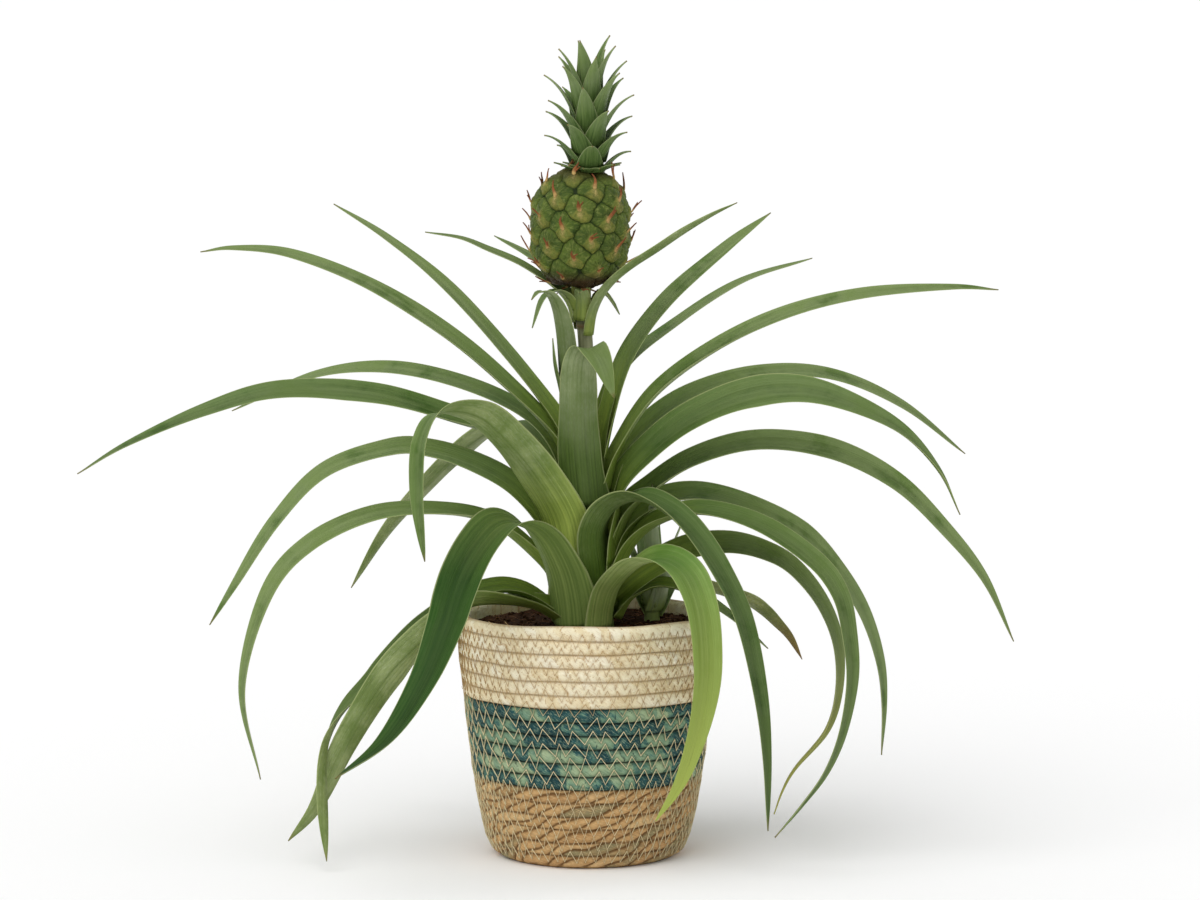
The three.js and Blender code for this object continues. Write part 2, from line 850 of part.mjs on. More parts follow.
function crownSolid(grow = 0) {
  const top = CROWN_CORE_OUTLINE.at(-1)[1];
  const side = CROWN_CORE_OUTLINE.map(([radius, height]) => [radius + grow, height || -grow]);
  const outline = [[0, -grow], ...side, [0, top]];
  const leaves = Array.from({ length: CROWN_LEAVES }, (_, i) => {
    const share = i / (CROWN_LEAVES - 1);
    const leaf = {
      angle: degToRad(i * GOLDEN_ANGLE),
      radius: lerp(...CROWN_LEAF_RADIUS, share),
      height: lerp(...CROWN_LEAF_HEIGHT, share),
      length: lerp(...CROWN_LEAF_LENGTH, Math.min(share / CROWN_LONGEST_FROM, 1)),
      width: lerp(...CROWN_LEAF_WIDTH, share),
      lean: lerp(...CROWN_LEAF_LEAN, share),
      curl: lerp(...CROWN_LEAF_CURL, share),
      steps: CROWN_LEAF_STEPS,
    };
    return tuftLeaf(leaf, grow);
  });
  const core = solidOf(turned(outline, CROWN_CORE_SIDES));
  return wasm.Manifold.union([core, ...leaves]).translate(-CROWN_LEAN, 0, CROWN_BOTTOM);
}

addPiece("crown", geometryOf(mainBody(crownSolid())), materialOf(0x5f8a4d, 0.55));

// Fruit

// The fruit's outside at a height share v from -1 (bottom) to 1 (top)
function fruitRadius(v) {
  return FRUIT_RADIUS * (1 - Math.abs(v) ** FRUIT_POWER) ** (1 / FRUIT_POWER);
}

function fruitPoint(v, angle) {
  const height = FRUIT_BOTTOM + FRUIT_HEIGHT * 0.5 * (1 + v);
  const radius = fruitRadius(v);
  return new THREE.Vector3(radius * Math.cos(angle) - STALK_LEAN, radius * Math.sin(angle), height);
}

// Height shares that give each eye the same area of skin
function evenShares(count) {
  const sums = [0];
  for (let k = 0; k < FRUIT_SLICES; k++) {
    const low = -1 + (2 * k) / FRUIT_SLICES;
    const high = low + 2 / FRUIT_SLICES;
    const slant = Math.hypot(fruitRadius(high) - fruitRadius(low), FRUIT_HEIGHT / FRUIT_SLICES);
    sums.push(sums[k] + (slant * (fruitRadius(low) + fruitRadius(high))) / 2);
  }
  return Array.from({ length: count }, (_, i) => {
    const wanted = (sums[FRUIT_SLICES] * (i + 0.5)) / count;
    return -1 + (2 * sums.findIndex((sum) => sum >= wanted)) / FRUIT_SLICES;
  });
}

// One eye: a low six-sided boss with a pointed bract that leans up the fruit
function eyeSolid(v, angle) {
  const middle = fruitPoint(v, angle);
  const side = new THREE.Vector3(-Math.sin(angle), Math.cos(angle), 0);
  const above = fruitPoint(Math.min(v + 2 / FRUIT_SLICES, 1), angle);
  const below = fruitPoint(Math.max(v - 2 / FRUIT_SLICES, -1), angle);
  const rise = above.sub(below).normalize();
  const normal = new THREE.Vector3().crossVectors(side, rise).normalize();
  const ring = (radius, height, reach) =>
    Array.from({ length: EYE_SIDES }, (_, k) => {
      const turn = (k * 2 * Math.PI) / EYE_SIDES;
      return middle
        .clone()
        .addScaledVector(side, radius * Math.cos(turn))
        .addScaledVector(rise, radius * Math.sin(turn) + reach)
        .addScaledVector(normal, height);
    });
  return ringsSolid([
    ring(EYE_RADIUS, -EYE_DEPTH, 0),
    ring(EYE_RADIUS * EYE_TOP_SHARE, EYE_RISE, 0),
    ring(BRACT_TIP_RADIUS, EYE_RISE + BRACT_RISE, BRACT_REACH),
  ]);
}

const coreOutline = FRUIT_CORE_RINGS.map((v) => [
  Math.abs(v) === 1 ? 0 : fruitRadius(v) - FRUIT_CORE_INSET,
  FRUIT_BOTTOM + FRUIT_HEIGHT * 0.5 * (1 + v),
]);
const fruitCore = turned(coreOutline, FRUIT_CORE_SIDES).translate(-STALK_LEAN, 0, 0);
const eyes = evenShares(FRUIT_EYES).map((v, i) => eyeSolid(v, degToRad(i * GOLDEN_ANGLE)));
const beside = placed.slice(0, STALK_LEAVES.length + 1).map(({ solid }) => solid);
const wholeFruit = wasm.Manifold.union([solidOf(fruitCore), ...eyes]);
const fruit = [grownStem, crownSolid(GAP), ...beside].reduce(
  (rest, solid) => rest.subtract(solid),
  wholeFruit,
);
addPiece("fruit", geometryOf(mainBody(fruit)), materialOf(0x7c8c45, 0.6));

export default plant;
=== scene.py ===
import functools
import math
import random

import bmesh
import bpy
from mathutils import Matrix, Vector, kdtree, noise


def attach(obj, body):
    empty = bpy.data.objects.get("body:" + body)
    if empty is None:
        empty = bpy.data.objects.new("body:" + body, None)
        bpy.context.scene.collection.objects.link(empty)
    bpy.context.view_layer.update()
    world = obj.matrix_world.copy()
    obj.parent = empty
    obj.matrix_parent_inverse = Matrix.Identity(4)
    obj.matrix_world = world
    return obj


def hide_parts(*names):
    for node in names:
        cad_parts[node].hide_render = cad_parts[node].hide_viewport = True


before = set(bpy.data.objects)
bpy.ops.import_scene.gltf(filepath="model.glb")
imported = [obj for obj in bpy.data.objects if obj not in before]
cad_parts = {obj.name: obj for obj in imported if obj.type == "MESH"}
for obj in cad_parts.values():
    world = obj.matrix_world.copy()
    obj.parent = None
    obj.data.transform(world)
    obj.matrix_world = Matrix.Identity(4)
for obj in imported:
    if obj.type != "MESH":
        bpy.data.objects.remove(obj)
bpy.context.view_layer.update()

# Camera
# It stands where the photograph was taken: in front of the plant and a little above its
# top, with a long lens that looks a little down.
MM = 0.001
CAMERA_AT = Vector((7, -3200, 659)) * MM
CAMERA_AIM = Vector((7, 0, 236.5)) * MM
CAMERA_LENS = 166.98
scene = bpy.context.scene


def show(name, data):
    """An object of the scene at the origin, unturned"""
    shown = bpy.data.objects.new(name, data)
    scene.collection.objects.link(shown)
    return shown


camera = show("camera", bpy.data.cameras.new("camera"))
camera.data.lens = CAMERA_LENS
camera.location = CAMERA_AT
camera.rotation_euler = (CAMERA_AIM - CAMERA_AT).to_track_quat("-Z", "Y").to_euler()
scene.camera = camera

# Basket bands
# One long straw rope is coiled and sewn into a planter. The rope is two plies of twisted
# reed at the bottom, then strips of dyed husk and of bare husk wound round a core.
BASKET_OUTLINE = ((55.5, 3), (58.5, 8), (61.5, 21), (66.7, 47), (72.3, 93), (75.4, 120), (75.6, 141))
BASKET_HEIGHT = 141
BASKET_FOOT_RADIUS = 52
BASKET_WALL = 6.2
BASKET_FLOOR = 6
COIL_COUNT = 18
BAND_COILS = 6
COIL_PITCH = BASKET_HEIGHT / COIL_COUNT
COIL_ROWS = 12
BASKET_STEPS = 600
MIDDLE_RADIUS = 66
ROPE_SWAY = 0.85
SWAY_LENGTH = 30
ROPE_UNEVEN = 0.55
UNEVEN_LENGTH = 26
FRONT_RISE = 3.2
HUSK_STRIPS = {"cream": 74, "teal": 84}
REED_PLIES = 25
STITCH_WIDTH = {"tan": 5.6, "teal": 8.8, "cream": 6.0}
STITCH_PULL = {"tan": 0.15, "teal": 0.5, "cream": 0.3}
PULL_WIDTH = 1.0
OFF_THREAD = 9.0
RIM_STEPS = 14


def srgb(red, green, blue):
    """A colour read off as 0 to 255, in the way that a shader takes it"""
    shares = (channel / 255 for channel in (red, green, blue))
    return tuple(((share + 0.055) / 1.055) ** 2.4 for share in shares) + (1.0,)


def node(tree, kind, inputs=(), **settings):
    """One shader node. Each input is given a value or another node's output."""
    made = tree.nodes.new("ShaderNode" + kind)
    for name, value in settings.items():
        setattr(made, name, value)
    for name, value in dict(inputs).items():
        if isinstance(value, bpy.types.NodeSocket):
            tree.links.new(value, made.inputs[name])
        else:
            made.inputs[name].default_value = value
    return made


def calc(tree, operation, *values):
    """A sum, product or the like of values"""
    return node(tree, "Math", enumerate(values), operation=operation).outputs[0]


def calc_vector(tree, operation, *values):
    """The same with places or directions"""
    return node(tree, "VectorMath", enumerate(values), operation=operation).outputs[0]


def mix(tree, share, first, second, mode="MIX"):
    """The first colour where share is 0 and the second where it is 1"""
    made = node(tree, "Mix", {0: share, 6: first, 7: second}, data_type="RGBA", blend_type=mode)
    return made.outputs[2]


def ramp(tree, value, low, high, at_low=0.0, at_high=1.0):
    """A value that goes from at_low to at_high while the one read goes from low to high"""
    reads = {"Value": value, "From Min": low, "From Max": high, "To Min": at_low, "To Max": at_high}
    return node(tree, "MapRange", reads).outputs[0]


def own_place(tree):
    """Where a point of the piece is, in metres"""
    return node(tree, "TexCoord").outputs["Object"]


def part_of(tree, place, axis):
    """One of the three numbers of a place"""
    return node(tree, "SeparateXYZ", {0: place}).outputs[axis]


def attribute(tree, name):
    """A number that the piece's mesh carries"""
    return node(tree, "Attribute", attribute_name=name).outputs["Fac"]


def cloud(tree, place, scale, detail=4.0, rough=0.55, stretch=(1, 1, 1)):
    """Soft noise from 0 to 1, finer along the axes that are stretched most"""
    turned = node(tree, "Mapping", {"Vector": place, "Scale": stretch}).outputs[0]
    reads = {"Vector": turned, "Scale": scale, "Detail": detail, "Roughness": rough}
    return node(tree, "TexNoise", reads).outputs["Fac"]


def material(name, roughness, gloss=0.5):
    """A new material, its node tree and its shader"""
    made = bpy.data.materials.new(name)
    made.use_nodes = True
    shader = made.node_tree.nodes["Principled BSDF"]
    shader.inputs["Roughness"].default_value = roughness
    shader.inputs["Specular IOR Level"].default_value = gloss
    return made, made.node_tree, shader


def stained(tree, tint, *stains):
    """A colour with stains laid over it in turn, each of them a share and a colour"""
    for share, colour in stains:
        tint = mix(tree, share, tint, colour)
    return tint


def painted(tree, shader, tint, height, distance):
    """Gives a shader its colour, and fine relief that is too small for the mesh"""
    tree.links.new(tint, shader.inputs["Base Color"])
    bump = node(tree, "Bump", {"Height": height, "Distance": distance})
    tree.links.new(bump.outputs[0], shader.inputs["Normal"])


def placed(name, data, finish, slot, *replaced):
    """A piece of one finish, from a mesh or a curve, riding on the one body"""
    data.materials.append(finish)
    piece = show(name, data)
    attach(piece, "root")
    if replaced:
        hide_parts(*replaced)


def finished(name, bm, finish, slot, *replaced):
    """A smooth-shaded piece from a bmesh"""
    mesh = bpy.data.meshes.new(name)
    bm.to_mesh(mesh)
    bm.free()
    mesh.polygons.foreach_set("use_smooth", [True] * len(mesh.polygons))
    placed(name, mesh, finish, slot, *replaced)


def spun(outline, steps, closed=False):
    """A bmesh turned round the Z axis from points of (radius, height) in millimetres"""
    bm = bmesh.new()
    verts = [bm.verts.new((radius * MM, 0, height * MM)) for radius, height in outline]
    edges = [bm.edges.new(pair) for pair in zip(verts, verts[1:])]
    if closed:
        edges.append(bm.edges.new((verts[-1], verts[0])))
    bmesh.ops.spin(bm, geom=verts + edges, cent=(0, 0, 0), axis=(0, 0, 1),
                   angle=math.tau, steps=steps, use_merge=True)
    bmesh.ops.remove_doubles(bm, verts=bm.verts, dist=1e-6)
    bmesh.ops.recalc_face_normals(bm, faces=bm.faces)
    return bm


def radius_at(outline, height):
    """The radius of an outline of (radius, height) at a height"""
    pairs = list(zip(outline, outline[1:]))
    low, high = next((pair for pair in pairs if height <= pair[1][1]), pairs[-1])
    return low[0] + (high[0] - low[0]) * (height - low[1]) / (high[1] - low[1])


@functools.cache
def chance(*seeds):
    """A steady random number from 0 to 1 for a strip, a strand or a point"""
    return random.Random(str(seeds)).random()


def eased(share):
    """0 below 0, 1 above 1, and a soft S between them"""
    share = max(0.0, min(1.0, share))
    return share * share * (3 - 2 * share)


def rope_noise(turn, coil, share, size, slant=0.0):
    """Noise round a coil, from about -0.6 to 0.6, with spots of that size in millimetres"""
    angle = turn * math.tau + slant * (share - 0.5)
    around = MIDDLE_RADIUS / size
    own_slice = coil * 3.7 + share
    return noise.noise(Vector((around * math.cos(angle), around * math.sin(angle), own_slice)))


def rope_sway(turn, height):
    """How far the hand-sewn rope wanders up or down there, in millimetres"""
    coil = height / COIL_PITCH
    wander = ROPE_SWAY * rope_noise(turn, coil * 0.25, 0, SWAY_LENGTH) * min(1, coil)
    front = max(0, -math.sin(turn * math.tau))
    return wander + FRONT_RISE * front * height / BASKET_HEIGHT


def rope_bulge(turn, coil):
    """How much thicker or thinner the uneven rope is there, in millimetres"""
    return ROPE_UNEVEN * rope_noise(turn, coil, 0, UNEVEN_LENGTH)


def coil_at(height):
    """The number of the coil at a height, from 0 at the foot"""
    return min(math.floor(height / COIL_PITCH), COIL_COUNT - 1)


def band_at(height):
    """The name of the band that a height is in"""
    return ("tan", "teal", "cream")[min(int(height / COIL_PITCH / BAND_COILS), 2)]


def zigzag(groove):
    """The corners of the thread's zigzag over a groove, as (turn, height)"""
    height = groove * COIL_PITCH
    band = band_at(height - 1)
    count = 2 * round(math.tau * radius_at(BASKET_OUTLINE, height) / STITCH_WIDTH[band])
    corners = []
    for k in range(count):
        reach = (0.5 if k % 2 else -0.5) * COIL_PITCH * (0.82 + 0.28 * chance("reach", groove, k))
        turn = (k + 0.75 * chance("step", groove, k)) / count
        corners.append((turn, height + reach))
    return corners


zigzags = {groove: zigzag(groove) for groove in range(1, COIL_COUNT)}


def thread_gap(turn, height):
    """The distance from the nearest stitch, in millimetres"""
    girth = math.tau * radius_at(BASKET_OUTLINE, height)
    low = math.floor(height / COIL_PITCH)
    nearest = OFF_THREAD
    for corners in (zigzags.get(low, ()), zigzags.get(low + 1, ())):
        count = len(corners)
        first = math.floor(turn * count) - 2 if count else 0
        spots = [corners[k % count] for k in range(first, first + 5)] if count else []
        spots = [(((spot[0] - turn + 0.5) % 1 - 0.5) * girth, spot[1] - height) for spot in spots]
        for (x, y), (next_x, next_y) in zip(spots, spots[1:]):
            run, climb = next_x - x, next_y - y
            share = max(0, min(1, -(x * run + y * climb) / (run * run + climb * climb)))
            nearest = min(nearest, math.hypot(x + run * share, y + climb * share))
    return nearest


def coil_side(first, count, roundness, depth):
    """Rounded coils, seen from outside, from the groove under the first to that over the last"""
    points = []
    for row in range(count * COIL_ROWS + 1):
        height = (first + row / COIL_ROWS) * COIL_PITCH
        off_crest = abs(2 * (row % COIL_ROWS) / COIL_ROWS - 1)
        points.append((radius_at(BASKET_OUTLINE, height) - depth * off_crest ** roundness, height))
    return points


def inner_side(high, low):
    """The inside of the wall, from a height down to a lower one"""
    return [(radius_at(BASKET_OUTLINE, high) - BASKET_WALL, high),
            (radius_at(BASKET_OUTLINE, low) - BASKET_WALL, low)]


def husk_strips(turn, coil, share, strips):
    """Wide strips wound on a slant round the rope's core: their relief, tone, and how much painted shade
    their creases and edges get
    """
    place = turn * strips + 0.8 * (share - 0.5) + coil * 0.37 + 0.9 * rope_noise(turn, coil, share, 7)
    strip = math.floor(place) % strips
    across = place - math.floor(place)
    crumple = rope_noise(turn, coil, share * 2.2, 2.6, 0.05)
    lift = 0.45 * (chance(coil, strip) - 0.5) + 0.3 * (1 - (2 * across - 1) ** 4) + 0.38 * crumple
    return lift, abs(2 * across - 1) ** 7 + 0.15 * max(0, -crumple), strip


def bare_husk(turn, coil, share):
    """Undyed strips: pale, with a browner one here and there"""
    lift, crease_shade, strip = husk_strips(turn, coil, share, HUSK_STRIPS["cream"])
    tone = 0.58 + 0.6 * (chance(strip, coil, "tone") - 0.5) + 0.4 * rope_noise(turn, coil, share, 12)
    return lift, crease_shade, tone


def dyed_husk(turn, coil, share):
    """Dyed strips: long dark stretches that change to sage on a slant"""
    strips = HUSK_STRIPS["teal"]
    lift, crease_shade, strip = husk_strips(turn, coil, share, strips)
    patch = rope_noise((strip + 0.5) / strips, coil, 0.5, 20)
    patch += 0.2 * rope_noise(turn, coil, share * 3, 4, 0.06)
    tone = 0.12 + 0.72 * eased(0.42 + 2.4 * patch) + 0.4 * (chance(strip, coil, "tone") - 0.5)
    return lift, crease_shade, tone


def twisted_reed(turn, coil, share):
    """Twisted plies that rise to the right, like long lenses, with painted shade in the gaps between
    them
    """
    place = turn * REED_PLIES - 1.15 * (share - 0.5) + coil * 0.41 + 0.9 * rope_noise(turn, coil, 0, 22)
    ply = math.floor(place) % REED_PLIES
    across = place - math.floor(place)
    swell = math.sin(math.pi * across) ** 0.8
    fibre = rope_noise(turn, coil, share * 3, 2.4, 0.25)
    over_groove = 1.3 * max(0, swell - 0.45) * abs(2 * share - 1) ** 3
    lift = 2.1 * (swell - 1) + 0.6 * (chance(coil, ply) - 0.5) + 0.5 * fibre + over_groove
    return lift, 1 - swell + 0.35 * max(0, -fibre), chance(ply, coil, "tone")


def band_mesh(outline, closed, winding):
    """A band with its rope's relief, and with what its material reads in the mesh"""
    bm = spun(outline, BASKET_STEPS, closed)
    layers = {name: bm.verts.layers.float.new(name) for name in ("tone", "crease_shade", "groove", "stitch")}
    rope = bm.loops.layers.uv.new("rope")
    turns = {}
    for vert in bm.verts:
        height = vert.co.z / MM
        radius = vert.co.xy.length / MM
        turn = math.atan2(vert.co.y, vert.co.x) / math.tau % 1
        turns[vert] = turn
        coil = coil_at(height)
        share = height / COIL_PITCH - coil
        lift, crease_shade, tone = winding(turn, coil, share)
        off_crest = abs(2 * share - 1)
        near = 0.0
        on_outside = height > 0.5 and radius > radius_at(BASKET_OUTLINE, height) - BASKET_WALL * 0.6
        if on_outside:
            near = math.exp(-(thread_gap(turn, height) / PULL_WIDTH) ** 2)
            pull = STITCH_PULL[band_at(height)]
            lift = lift * (1 - off_crest ** 6) * (1 - 1.5 * pull * near) - pull * near
            lift += rope_bulge(turn, coil)
            vert.co.xy *= 1 + lift / radius
        vert[layers["tone"]] = tone
        # The crease, groove and stitch numbers mark where the straw's material paints shade.
        vert[layers["crease_shade"]] = crease_shade
        vert[layers["groove"]] = off_crest
        vert[layers["stitch"]] = near
        vert.co.z += rope_sway(turn, height) * MM
    for face in bm.faces:
        wraps = max(turns[v] for v in face.verts) - min(turns[v] for v in face.verts) > 0.5
        for loop in face.loops:
            turn = turns[loop.vert] + (1 if wraps and turns[loop.vert] < 0.5 else 0)
            loop[rope].uv = (turn * math.tau * BASKET_OUTLINE[3][0] * MM, loop.vert.co.z)
    return bm


def straw(name, colours, fibre_tone, dark_fibre_and_shade_tone, groove_shade_tone,
          groove_shade, stitch_dent_shade, grain, fibre_slant):
    """Matte straw: patches of tone and fine fibres, with painted shade in its creases, in the dents
    along the stitches and in the grooves
    """
    finish, tree, shader = material(name, 0.85, 0.25)
    place = node(tree, "UVMap", uv_map="rope").outputs[0]
    slanted = node(tree, "Mapping", {"Vector": place, "Rotation": (0, 0, fibre_slant)}).outputs[0]
    fibres = cloud(tree, slanted, 1.0, 5, 0.7, grain)
    streaks = cloud(tree, slanted, 1.7, 3, 0.7, grain)
    blotches = cloud(tree, place, 1.0, 3, 0.5, (90, 130, 1))
    read = calc(tree, "ADD", attribute(tree, "tone"), ramp(tree, blotches, 0.3, 0.7, -0.12, 0.12))
    tones = node(tree, "ValToRGB", {"Fac": read})
    stops = tones.color_ramp.elements
    stops[0].color = colours[0]
    stops[1].color = colours[-1]
    for k, colour in enumerate(colours[1:-1], 1):
        stops.new(k / (len(colours) - 1)).color = colour
    # The streaks and fibres are the straw's own colour. The crease, stitch and groove marks are painted
    # shade: in the creases and between the plies, in the dents by the stitches, and in the grooves
    # between the coils.
    tint = stained(
        tree, tones.outputs[0],
        (ramp(tree, streaks, 0.5, 0.66, 0.0, 0.6), fibre_tone),
        (ramp(tree, fibres, 0.5, 0.3, 0.0, 0.5), dark_fibre_and_shade_tone),
        (ramp(tree, attribute(tree, "crease_shade"), 0.4, 0.85, 0.0, 0.85), dark_fibre_and_shade_tone),
        (ramp(tree, attribute(tree, "stitch"), 0.3, 1.0, 0.0, stitch_dent_shade), dark_fibre_and_shade_tone),
        (ramp(tree, attribute(tree, "groove"), 0.74, 1.0, 0.0, groove_shade), groove_shade_tone))
    painted(tree, shader, tint, fibres, 0.0009)
    return finish


tan_top = BAND_COILS * COIL_PITCH
teal_top = 2 * BAND_COILS * COIL_PITCH
floor_rings = [(radius, 0.9 * (1 - math.sqrt(1 - (2 * (radius / COIL_PITCH % 1) - 1) ** 2)))
               for radius in range(1, BASKET_FOOT_RADIUS)]
tan_tones = (srgb(156, 146, 108), srgb(200, 156, 104), srgb(222, 180, 124), srgb(208, 166, 112),
             srgb(232, 196, 142))
tan_straw = straw("twisted_reed", tan_tones, fibre_tone=srgb(236, 208, 156),
                  dark_fibre_and_shade_tone=srgb(114, 80, 44), groove_shade_tone=srgb(84, 56, 30), groove_shade=0.7,
                  stitch_dent_shade=0.1, grain=(150, 1100, 1), fibre_slant=0.32)
tan_outline = ([(0, 0.2)] + floor_rings + coil_side(0, BAND_COILS, 2.6, 1.9)[3:]
               + inner_side(tan_top, BASKET_FLOOR) + [(0, BASKET_FLOOR)])
tan_band = band_mesh(tan_outline, False, twisted_reed)
finished("tan_band", tan_band, tan_straw, "straw_tan", "basket_tan_band")

teal_tones = (srgb(30, 68, 74), srgb(42, 88, 90), srgb(90, 132, 116), srgb(134, 164, 132),
              srgb(172, 190, 150))
teal_straw = straw("dyed_husk", teal_tones, fibre_tone=srgb(166, 188, 156),
                   dark_fibre_and_shade_tone=srgb(24, 52, 50), groove_shade_tone=srgb(6, 16, 16), groove_shade=0.95,
                   stitch_dent_shade=0.35, grain=(900, 200, 1), fibre_slant=-0.9)
teal_outline = coil_side(BAND_COILS, BAND_COILS, 2.4, 2.2) + inner_side(teal_top, tan_top)
teal_band = band_mesh(teal_outline, True, dyed_husk)
finished("teal_band", teal_band, teal_straw, "straw_teal", "basket_teal_band")

cream_tones = (srgb(218, 196, 148), srgb(236, 218, 176), srgb(246, 232, 195), srgb(250, 239, 207),
               srgb(253, 245, 220))
cream_straw = straw("bare_husk", cream_tones, fibre_tone=srgb(255, 247, 222),
                    dark_fibre_and_shade_tone=srgb(196, 160, 108), groove_shade_tone=srgb(156, 118, 72), groove_shade=0.6,
                    stitch_dent_shade=0.05, grain=(900, 260, 1), fibre_slant=-0.9)
rim_middle = (COIL_COUNT - 0.5) * COIL_PITCH
rim_radius = radius_at(BASKET_OUTLINE, rim_middle) - BASKET_WALL / 2
rim = [(rim_radius + BASKET_WALL / 2 * math.cos(angle), rim_middle + COIL_PITCH / 2 * math.sin(angle))
       for angle in (math.pi * k / RIM_STEPS for k in range(1, RIM_STEPS))]
cream_side = coil_side(2 * BAND_COILS, BAND_COILS, 3.8, 1.5)[:-COIL_ROWS // 2]
cream_outline = cream_side + rim + inner_side(rim_middle, teal_top)
cream_band = band_mesh(cream_outline, True, bare_husk)
finished("cream_band", cream_band, cream_straw, "straw_cream", "basket_cream_band")

# Sewing thread
# A thin raffia thread zigzags over every groove, sews each coil to the one below it and pulls
# the husk in where it lies.
THREAD_RADIUS = 0.33
THREAD_LIFTS = {"tan": 0.45, "teal": 0.2, "cream": 0.2}
THREAD_SIZES = {"tan": 1.12, "teal": 1.12, "cream": 0.7}


def thread_curve(name, radius):
    """A curve that is shown as a thin round thread"""
    curve = bpy.data.curves.new(name, "CURVE")
    curve.dimensions = "3D"
    curve.bevel_depth = radius * MM
    curve.bevel_resolution = 1
    curve.use_fill_caps = True
    return curve


def add_line(curve, points, cyclic=False, thickness=1.0):
    """A thread through some points, its thickness a share of the curve's own"""
    spline = curve.splines.new("POLY")
    spline.points.add(len(points) - 1)
    for place, point in zip(spline.points, points):
        place.co = (*point, 1)
        place.radius = thickness
    spline.use_cyclic_u = cyclic


def on_rope(turn, height, lift):
    """A point on the rope, lifted off its crest by some millimetres"""
    radius = radius_at(BASKET_OUTLINE, height) + lift + rope_bulge(turn, coil_at(height))
    angle = turn * math.tau
    swayed = height + rope_sway(turn, height)
    return Vector((radius * math.cos(angle), radius * math.sin(angle), swayed)) * MM


stitching = thread_curve("stitching", THREAD_RADIUS)
for groove, corners in zigzags.items():
    band = band_at(groove * COIL_PITCH + 1)
    line = [on_rope(turn, height, THREAD_LIFTS[band]) for turn, height in corners]
    add_line(stitching, line, cyclic=True, thickness=THREAD_SIZES[band])
thread, tree, shader = material("raffia_thread", 0.7)
place = own_place(tree)
on_cream = ramp(tree, part_of(tree, place, "Z"), (teal_top - 2) * MM, (teal_top + 2) * MM)
strands = cloud(tree, place, 400.0)
tint = stained(
    tree, srgb(238, 224, 180),
    (on_cream, srgb(198, 162, 108)),
    (ramp(tree, strands, 0.4, 0.75, 0.0, 0.35), srgb(164, 134, 88)))
painted(tree, shader, tint, strands, 0.0002)
placed("sewing_thread", stitching, thread, "straw_cream")

# Loose straw ends
# Short ends of husk that were missed when the rope was sewn. They stick out of the rim and
# here and there over the sides.
LOOSE_ENDS = 34
LOOSE_RADIUS = 0.13
LOOSE_HEIGHTS = (139, 140, 137, 118, 96, 60, 40)
ends = thread_curve("loose_ends", LOOSE_RADIUS)
draw = random.Random(5)
for k in range(LOOSE_ENDS):
    turn = draw.random()
    height = draw.choice(LOOSE_HEIGHTS)
    foot = on_rope(turn, height, -1 if height > 130 else -0.4)
    outward = Vector((foot.x, foot.y, 0)).normalized()
    aside = Vector((-outward.y, outward.x, 0)) * draw.uniform(-4, 4) * MM
    up = Vector((0, 0, draw.uniform(2, 5) * MM))
    out = outward * draw.uniform(0.4, 1.6) * MM
    add_line(ends, [foot, foot + out + up * 0.5 + aside * 0.4, foot + out * 1.4 + up + aside])
placed("loose_straw_ends", ends, thread, "straw_cream")

# Soil
# Loose, moist coir mix, poured in round the stem and pressed down. It fills the basket to a
# little under its rim, with crumbs and brown fibres on top.
SOIL_TOP = 133.5
SOIL_GAP = 0.3
SOIL_STEPS = 160
SOIL_RINGS = 48
SOIL_LUMP = 1.7
SOIL_CRUMBS = 420
SOIL_FIBRES = 150
FIBRE_RADIUS = 0.11


def soil_radius(height):
    """Up to where the soil reaches inside the wall, in millimetres"""
    return radius_at(BASKET_OUTLINE, height) - BASKET_WALL - SOIL_GAP


def soil_height(x, y):
    """The height of the loose top, in millimetres"""
    coarse = noise.noise(Vector((x, y, 3)) / 9)
    fine = noise.noise(Vector((x, y, 9)) / 2.6)
    return SOIL_TOP - 0.6 + SOIL_LUMP * (0.7 * coarse + 0.5 * fine)


soil_bottom = BASKET_FLOOR + SOIL_GAP
soil_outline = [(0, soil_bottom), (soil_radius(soil_bottom), soil_bottom)]
soil_outline += [(soil_radius(height), height) for height in (47, 94, SOIL_TOP - 2)]
soil_outline += [(soil_radius(SOIL_TOP) * (1 - k / SOIL_RINGS), SOIL_TOP) for k in range(SOIL_RINGS + 1)]
soil = spun(soil_outline, SOIL_STEPS)
for vert in soil.verts:
    if vert.co.z > (SOIL_TOP - 1) * MM:
        vert.co.z = soil_height(vert.co.x / MM, vert.co.y / MM) * MM
draw = random.Random(9)
for k in range(SOIL_CRUMBS):
    radius = soil_radius(SOIL_TOP) * math.sqrt(draw.uniform(0.03, 0.97))
    angle = draw.uniform(0, math.tau)
    x, y = radius * math.cos(angle), radius * math.sin(angle)
    size = draw.uniform(0.5, 1.7)
    moved = Matrix.Translation(Vector((x, y, soil_height(x, y) + size * 0.3)) * MM)
    angle = draw.uniform(0, math.tau)
    turned = Matrix.Rotation(angle, 4, Vector((draw.random(), draw.random(), 1)))
    flattened = Matrix.Diagonal((size * MM, size * draw.uniform(0.5, 1) * MM, size * 0.6 * MM, 1))
    bmesh.ops.create_icosphere(soil, subdivisions=1, radius=1, matrix=moved @ turned @ flattened)
coir, tree, shader = material("coir_mix", 0.95, 0.15)
place = own_place(tree)
lumps = cloud(tree, place, 260.0, 6, 0.7)
flecks = cloud(tree, place, 900.0, 3, 0.6)
tint = stained(
    tree, srgb(38, 22, 14),
    (ramp(tree, lumps, 0.35, 0.7), srgb(92, 58, 36)),
    (ramp(tree, flecks, 0.62, 0.75, 0.0, 0.6), srgb(140, 96, 60)))
painted(tree, shader, tint, lumps, 0.0015)
finished("coir_soil", soil, coir, "soil", "soil")

